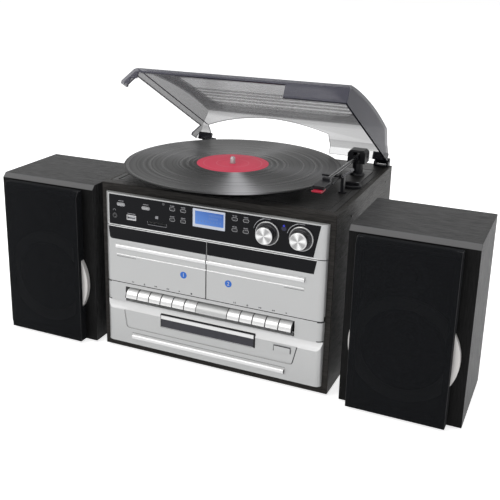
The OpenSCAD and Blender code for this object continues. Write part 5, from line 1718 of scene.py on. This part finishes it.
@dataclass
class ToneArm:
    """Arm, pivot cap, headshell, rest, clip and speed selector.

    Args:
        pivot: Pivot of the arm.
        cap: Half width, half depth and top of the pivot cap.
        tip_y: Place of the stylus.
        rest_y: Place of the rest.
        tube_r: Radius of the tube.
        dial: Middle of the speed selector on the deck.
    """

    pivot: Point = (132.5, 199.0, 266.0)
    cap: Point = (12.5, 11.0, 276.3)
    tip_y: float = 31.0
    rest_y: float = 100.0
    tube_r: float = 2.5
    dial: Point = (144.0, 132.0, 240.3)

    def build(self) -> None:
        """Makes the arm and what stands round it."""
        Workshop.soften("tonearm_base", ARM_BLACK, 0.4)
        self._cap()
        self._tube()
        self._headshell()
        self._rest()
        self._dial()

    def _cap(self) -> None:
        """Rounded cap with a slot in front for the tube."""
        x, y, _ = self.pivot
        w, d, top = self.cap
        foot, slot_top = 259, 273.2
        Workshop.soften("tonearm_yoke", ARM_BLACK, 1.6, Body.YOKE, 4)
        outline = [(x - w, foot), *arc(x - w + 5, top - 5.6, 5, 180, 90, 5),
                   *arc(x + w - 5, top - 5.6, 5, 90, 0, 5), (x + w, foot), (x + 4.3, foot),
                   (x + 4.3, slot_top), (x - 4.3, slot_top), (x - 4.3, foot)]
        bm = bmesh.new()
        for start, end in ((-d - 0.2, -d + 2.2), (d - 2.2, d + 0.2)):
            prism(bm, outline, y + start, y + end, Axis.Y)
        Workshop.solid("cap_ends", bm, ARM_BLACK, Body.YOKE, bevel=0.7)

    def _tube(self) -> None:
        """Tube with its bearing block and pin."""
        x, y, z = self.pivot
        r = self.tube_r + 0.02
        Workshop.turned("arm_tube", [(0, -8), (r, -8), (r, 138), (0, 138)], self.pivot, TUBE_BLACK, Body.ARM,
                        steps=40, replaces=["tonearm"])
        bm = bmesh.new()
        prism(bm, rounded(x - 3.9, z - 4.6, x + 3.9, z + 4.2, 1.2, 3), y - 16, y - 4, Axis.Y)
        prism(bm, rounded(x - 3.4, z - 3.8, x + 3.4, z + 3.6, 1.0, 3), y - 4, y + 5, Axis.Y)
        Workshop.solid("arm_block", bm, ARM_BLACK, Body.ARM, bevel=0.4)
        Workshop.turned("arm_pin", [(0, -11.6), (1.95, -11.6), (1.95, 11.6), (0, 11.6)], self.pivot, STEEL,
                        Body.ARM, Axis.X, 24)

    def _headshell(self) -> None:
        """Shell, finger lift, cartridge and its red stylus carrier."""
        x, _, z = self.pivot
        y = self.tip_y
        Workshop.soften("headshell", ARM_BLACK, 0.8, Body.ARM, 3)
        side = [(y + 6, 262.4), (y + 4, 259.8), (y - 3, 259.0), (y - 11, 259.2), (y - 15.5, 260.6),
                (y - 17.5, 262.8), (y - 16, 263.0), (y - 12, 261.4), (y - 8, 262.2), (y - 6, 262.6)]
        Workshop.plate("stylus_carrier", [side], x - 6.2, x + 6.2, RED_PLASTIC_PAINTED_GLOW, Body.ARM, Axis.X, bevel=0.6)
        lift = path_strip([(x + 6.6, y + 14), (x + 8.2, y + 10), (x + 8.4, y - 2), (x + 10.2, y - 8)], 1.2)
        Workshop.plate("finger_lift", [lift], 263.2, 264.4, ARM_BLACK, Body.ARM, Axis.Z, bevel=0.25)
        Workshop.turned("shell_collar", [(2.4, -3), (3.4, -3), (3.7, -2.2), (3.7, 2.2), (3.4, 3), (2.4, 3)],
                        (x, y + 27.0, z), KNOB_SIDE, Body.ARM, steps=40)

    def _rest(self) -> None:
        """Rest with its clip and cueing lever."""
        x, y = self.pivot[0], self.rest_y
        Workshop.soften("arm_rest", ARM_BLACK, 0.5)
        Workshop.soften("arm_clip", LIGHT_GREY, 0.4, Body.CLIP)
        lever = path_strip([(x + 5.3, y - 4), (x + 4.2, y - 10), (x + 4.6, y - 30), (x + 6.0, y - 38)], 1.8)
        Workshop.plate("cue_lever", [lever], 259.2, 261.0, REST_DARK, axis=Axis.Z, bevel=0.4)

    def _dial(self) -> None:
        """Speed selector: a low disc with a raised grip across it."""
        x, y, z = self.dial
        Workshop.turned("dial_disc", [(0, 0), (13.0, 0), (13.0, 2.6), (12.4, 3.4), (11.6, 3.6), (10.8, 3.0),
                                      (4.0, 2.8), (0, 2.8)], self.dial, ARM_BLACK, Body.DIAL, Axis.Z,
                        replaces=["speed_dial"])
        Workshop.plate("dial_grip", [pill(x, y, 21.0, 5.6, 8)], z + 2.4, z + 6.6, ARM_BLACK, Body.DIAL,
                       Axis.Z, bevel=0.8, segments=3)
        Workshop.plate("dial_pointer", [rounded(x + 6.0, y - 0.4, x + 9.6, y + 0.4, 0.2, 2)], z + 6.5,
                       z + 6.66, WHITE_MARK, Body.DIAL, Axis.Z)


@dataclass
class Lid:
    """Smoke lid with its field, ribs, dark edges and hinges. It is drawn in its own frame: v forward
    from the pivot and w up from it.

    Args:
        pivot_y: Place of the pivot.
        pivot_z: Its height.
        opened: Angle at which the lid stands.
        left: Left edge.
        right: Right edge.
        length: Length in front of the pivot.
        crown: Height of the top over the pivot.
        front_h: Height of the front over the pivot.
        slope: How far the left wall leans in over its height.
        ribs: Places of the ribs forward from the pivot.
        cut: Place where the left wall is cut, and width of the band that starts there.
        band: Place where the front band starts.
        thick: Thickness in metres above which a face is an edge.
    """

    pivot_y: float = 266.0
    pivot_z: float = 247.0
    opened: float = 28.0
    left: float = -147.0
    right: float = 162.0
    length: float = 272.0
    crown: float = 35.0
    front_h: float = 20.0
    slope: float = 19.0 / 22.0
    ribs: tuple[float, ...] = (172.0, 156.0, 140.0, 124.0, 108.0)
    cut: Pair = (257.5, 26.0)
    band: float = 268.0
    thick: float = 0.0042

    def at(self, x: float, v: float, w: float) -> Vector:
        """Turns a point of the lid's frame into case millimetres."""
        c, s = cos(radians(self.opened)), sin(radians(self.opened))
        return Vector((x, self.pivot_y - v * c + w * s, self.pivot_z + v * s + w * c))

    def inward(self, point: Vector) -> Pair:
        """Turns a point of the frame, in metres, into the lid's own x and v."""
        x, y, z = (point - SITE.at(0, self.pivot_y, self.pivot_z)) / MM
        return x, sin(radians(self.opened)) * z - cos(radians(self.opened)) * y

    def top(self, v: float) -> float:
        """Height of the lid's outer skin at a place."""
        return self.crown - (self.crown - self.front_h) * ((v - 105) / (self.length - 105)) ** 2

    def build(self) -> None:
        """Makes the lid."""
        self._shell()
        points = [tuple(self.at(17.0, v, self.top(v) - 2.6)) for v in self.ribs]
        grown("lid_ribs", ribs(), SMOKE_RIB, Body.LID, points, Length=0.216, Radius=0.0011,
              Squash=(1.0, 3.4, 0.7), Tilt=(radians(-self.opened), 0.0, 0.0))
        self._edges()
        Workshop.soften("hinge_leaves", HINGE_BLACK, 0.4, Body.LID)
        Workshop.soften("hinge_brackets", HINGE_BLACK, 0.4)

    def _shell(self) -> None:
        """Copies the CAD shell and paints its cut edges darker, as clear plastic shows them."""
        mesh, bm = copied("lid")
        cut, width = self.cut
        normal = (0, -cos(radians(self.opened)), sin(radians(self.opened)))
        bmesh.ops.bisect_plane(bm, geom=bm.verts[:] + bm.edges[:] + bm.faces[:],
                               plane_co=SITE.at(*self.at(0, cut, 0)), plane_no=normal)
        tree = BVHTree.FromBMesh(bm)
        for face in bm.faces:
            middle = face.calc_center_median()
            far = tree.ray_cast(middle - face.normal * 2e-5, -face.normal)[3]
            face.material_index = 0 if far is not None and far < self.thick else 1
            x, v = self.inward(middle)
            if v > self.band or (v > cut - 0.1 and x < self.left + width):
                face.material_index = 2
        bmesh.ops.dissolve_limit(bm, angle_limit=radians(0.5), verts=bm.verts, edges=bm.edges,
                                 delimit={"MATERIAL"})
        clear = Smoke("smoke_clear", "smoke_lid")
        Workshop.piece("lid_shell", store(bm, mesh, 30), Body.LID, clear, ["lid"], 0.3,
                       more=(SMOKE_EDGE, SMOKE_BAND))

    def _edges(self) -> None:
        """Dark lines on both sides of the rim above the left cut, and lips along the other edges."""

        def wall(w: float, out: float) -> Pair:
            """Point on the leaning left wall, or outside it."""
            return (self.left + self.slope * w - out, w)

        r, bend, split = self.right, self.left + 26, 81.5
        bm = bmesh.new()
        for section, start, end in (
                ([wall(19.7, -0.1), wall(19.7, 1.35), wall(20.3, 1.35), wall(20.3, -0.1)], 22.0, 264.0),
                ([wall(13.0, -1.8), wall(13.0, 0.5), wall(13.5, 0.5), wall(13.5, -1.8)], 38.0, 257.0),
                (bar(r - 2.7, -4.0, r + 0.15, -3.1), 20.0, 271.6),
                (bar(bend, 12.7, split, 13.4), 269.4, 272.15),
                (bar(split, -4.0, r, -3.3), 269.4, 272.15)):
            loops = [[bm.verts.new(self.at(x, v, w)) for x, w in section]
                     for v in (start, (start + end) / 2, end)]
            bm.faces.new(loops[0])
            bm.faces.new(loops[-1])
            bridge(bm, loops)
        Workshop.solid("lid_lines", bm, SMOKE_EDGE, Body.LID)


@dataclass
class Loudspeaker:
    """One loudspeaker's cloth, frame, driver and rear cup, drawn from its front lower left corner.

    Args:
        label: left or right.
        x: Left side of the box.
        front: Front of the box.
        width: Width of the box.
        depth: Its depth.
        grille: Left, bottom, right and top of the grille.
        stand: How far the grille stands out.
        rim: Width of its frame.
        driver: Middle of the driver.
        tweeter: Middle of the tweeter.
        cup_z: Height of the terminal cup.
        snug: How far the cloth lies outside its frame.
    """

    label: str
    x: float
    front: float = -3.6
    width: float = 152.0
    depth: float = 129.0
    grille: Corners = (12.3, 0.5, 134.3, 224.0)
    stand: float = 13.9
    rim: float = 8.0
    driver: Pair = (76.0, 88.0)
    tweeter: Pair = (76.0, 182.0)
    cup_z: float = 60.0
    snug: float = 0.12

    def build(self) -> Obj:
        """Makes the pieces of one loudspeaker.

        Returns:
            The grille frame, which stands for the CAD grilles.
        """
        frame_piece = self._frame()
        self._cloth()
        self._driver()
        self._cup()
        return frame_piece

    def _profile(self, grow: float, away: float = 0.0) -> list[Pair]:
        """Side outline of the grille with its sloping upper edge.

        Args:
            grow: Millimetres that are added all round.
            away: Distance from the driver's axis, for a notch that leaves its ring free; 0 for none.
        """
        _, z0, _, z1 = self.grille
        back, face = self.front - 0.3, self.front - self.stand
        outline = [(back, z0 - grow), (face - grow, z0 - grow), (face - grow, z1 - 8 + grow),
                   (face + 5, z1 + grow), (back, z1 + grow)]
        if away:
            half, mid = sqrt(68.0 ** 2 - away ** 2), self.driver[1]
            notch = self.front - 7.5
            outline += [(back, mid + half), (notch, mid + half), (notch, mid - half), (back, mid - half)]
        return outline

    def _frame(self) -> Obj:
        """Open frame that carries the cloth."""
        x0, z0, x1, z1 = self.grille
        bm = bmesh.new()
        for a, b in ((x0, x0 + self.rim), (x1 - self.rim, x1)):
            away = min(abs(a - self.driver[0]), abs(b - self.driver[0]))
            prism(bm, self._profile(-0.2, away), self.x + a + 0.2, self.x + b - 0.2, Axis.X)
        left, right = self.x + x0 + self.rim - 0.3, self.x + x1 - self.rim + 0.3
        for low, high in ((z0 + 0.2, z0 + self.rim), (z1 - 16.0, z1 - 8.4)):
            prism(bm, bar(left, self.front - self.stand + 0.2, right, self.front - 0.3), low, high, Axis.Z)
        return Workshop.solid(f"grille_frame_{self.label}", bm, BLACK_PLASTIC, bevel=0.4)

    def _cloth(self) -> None:
        """Stretches the cloth over the frame's front and sides."""
        x0, z0, x1, z1 = self.grille
        sides = (x0 - self.snug, x1 + self.snug)
        bm = bmesh.new()
        prism(bm, self._profile(self.snug), self.x + sides[0], self.x + sides[1], Axis.X)
        bm.normal_update()
        hidden = [f for f in bm.faces if all(abs(v.co.y - (self.front - 0.3)) < 1e-3 for v in f.verts)
                  or abs(f.normal.x) > 0.9]
        bmesh.ops.delete(bm, geom=hidden, context="FACES_ONLY")
        for edge in sides:
            corners = {(round(v.co.y, 2), round(v.co.z, 2)): v for v in bm.verts
                       if abs(v.co.x - self.x - edge) < 1e-3}
            bm.faces.new([corners.get((round(y, 2), round(z, 2))) or bm.verts.new((self.x + edge, y, z))
                          for y, z in self._profile(self.snug, abs(edge - self.driver[0]))])
        bmesh.ops.delete(bm, geom=[e for e in bm.edges if not e.link_faces], context="EDGES")
        bmesh.ops.recalc_face_normals(bm, faces=bm.faces)
        folds = [e for e in bm.edges if not e.is_boundary]
        bmesh.ops.bevel(bm, geom=folds, offset=1.6, segments=3, profile=0.5, affect="EDGES")
        area = sum(f.calc_area() for f in bm.faces) * MM * MM
        fabric = Cloth("black_cloth", "grille_cloth")
        cloth = Workshop.solid(f"grille_cloth_{self.label}", bm, fabric, sharp=50)

    def _driver(self) -> None:
        """Silver ring, surround, cone, dome and tweeter behind the cloth."""
        ring = [(52.5, 0.05), (67.0, 0.05), (67.0, 6.3), (66.6, 6.85), (65.8, 7.0), (56.0, 7.0), (52.5, 5.0)]
        surround = [(52.6, 0.4), (52.6, 3.0), (50.0, 4.6), (47.0, 4.8), (44.0, 3.2), (43.6, 0.6)]
        cone = [(44.4, 2.8), (40.0, 0.6), (15.0, -13.0), (14.4, -14.0)]
        dome = [(15.4, -12.6), (13.0, -9.8), (8.0, -7.4), (0, -6.4)]
        tweeter = [(24.0, 0.1), (24.0, 2.4), (23.0, 3.0), (15.0, 3.0), (12.0, 1.4), (9.4, 2.2), (8.0, 4.4),
                   (4.0, 5.7), (0, 6.0)]
        for name, profile, (x, z), finish, steps in (
                ("driver_ring", ring, self.driver, RING_SILVER, 96),
                ("driver_surround", surround, self.driver, RUBBER, 80),
                ("driver_cone", cone, self.driver, CONE, 80),
                ("driver_dome", dome, self.driver, DOME, 48),
                ("tweeter", tweeter, self.tweeter, DOME, 64)):
            first = name == "driver_ring" and self.label == "left"
            Workshop.turned(f"{name}_{self.label}", profile, (self.x + x, self.front, z), finish, steps=steps,
                            replaces=["speaker_drivers"] if first else ())

    def _cup(self) -> None:
        """Terminal cup on the back with a red and a black post."""
        x, back = self.x + self.width / 2, self.front + self.depth
        cup = [(0, 5.4), (15.7, 5.4), (15.7, -0.05), (21.0, -0.05), (21.0, -1.1), (20.5, -1.6), (16.2, -1.6),
               (15.2, -0.9), (14.6, 3.0), (0, 3.0)]
        post = [(0, 0.0), (4.4, 0.0), (4.6, 0.6), (4.6, 3.2), (4.2, 3.8), (2.2, 4.0), (1.2, 4.0), (0, 4.0)]
        Workshop.turned(f"terminal_cup_{self.label}", cup, (x, back, self.cup_z), SOCKET_BLACK)
        for side, colour, name in ((-8.0, (0.45, 0.02, 0.02), "red"), (8.0, (0.012, 0.012, 0.012), "black")):
            Workshop.turned(f"post_{name}_{self.label}", [(r, -h) for r, h in post],
                            (x + side, back - 3.1, self.cup_z),
                            Finish(f"post_{name}", "back_board", colour, rough=0.35, coat=0.3), steps=24)


@dataclass
class Loudspeakers:
    """Both loudspeakers.

    Args:
        left: Left side of the left box.
        right: Left side of the right box.
    """

    left: float = -331.0
    right: float = 181.5

    def build(self) -> None:
        """Makes both."""
        Workshop.soften("speaker_cabinets", SPEAKER_WOOD, 0.7, segments=3)
        grille = Loudspeaker("left", self.left).build()
        Loudspeaker("right", self.right).build()
        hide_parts("speaker_grilles")


def main() -> None:
    """Builds the object in order and reports each part."""
    logging.basicConfig(level=logging.INFO, format="%(message)s")
    Studio().build()
    for part in (Case(), InnerWorks(), Rear(), RadioFront(), CassetteFront(), DiscFront(), RecordDeck(),
                 ToneArm(), Lid(), Loudspeakers()):
        before = len(Workshop.made)
        part.build()
        log.info("%s: %s", type(part).__name__, ", ".join(Workshop.made[before:]))


if __name__ == "__main__":
    main()
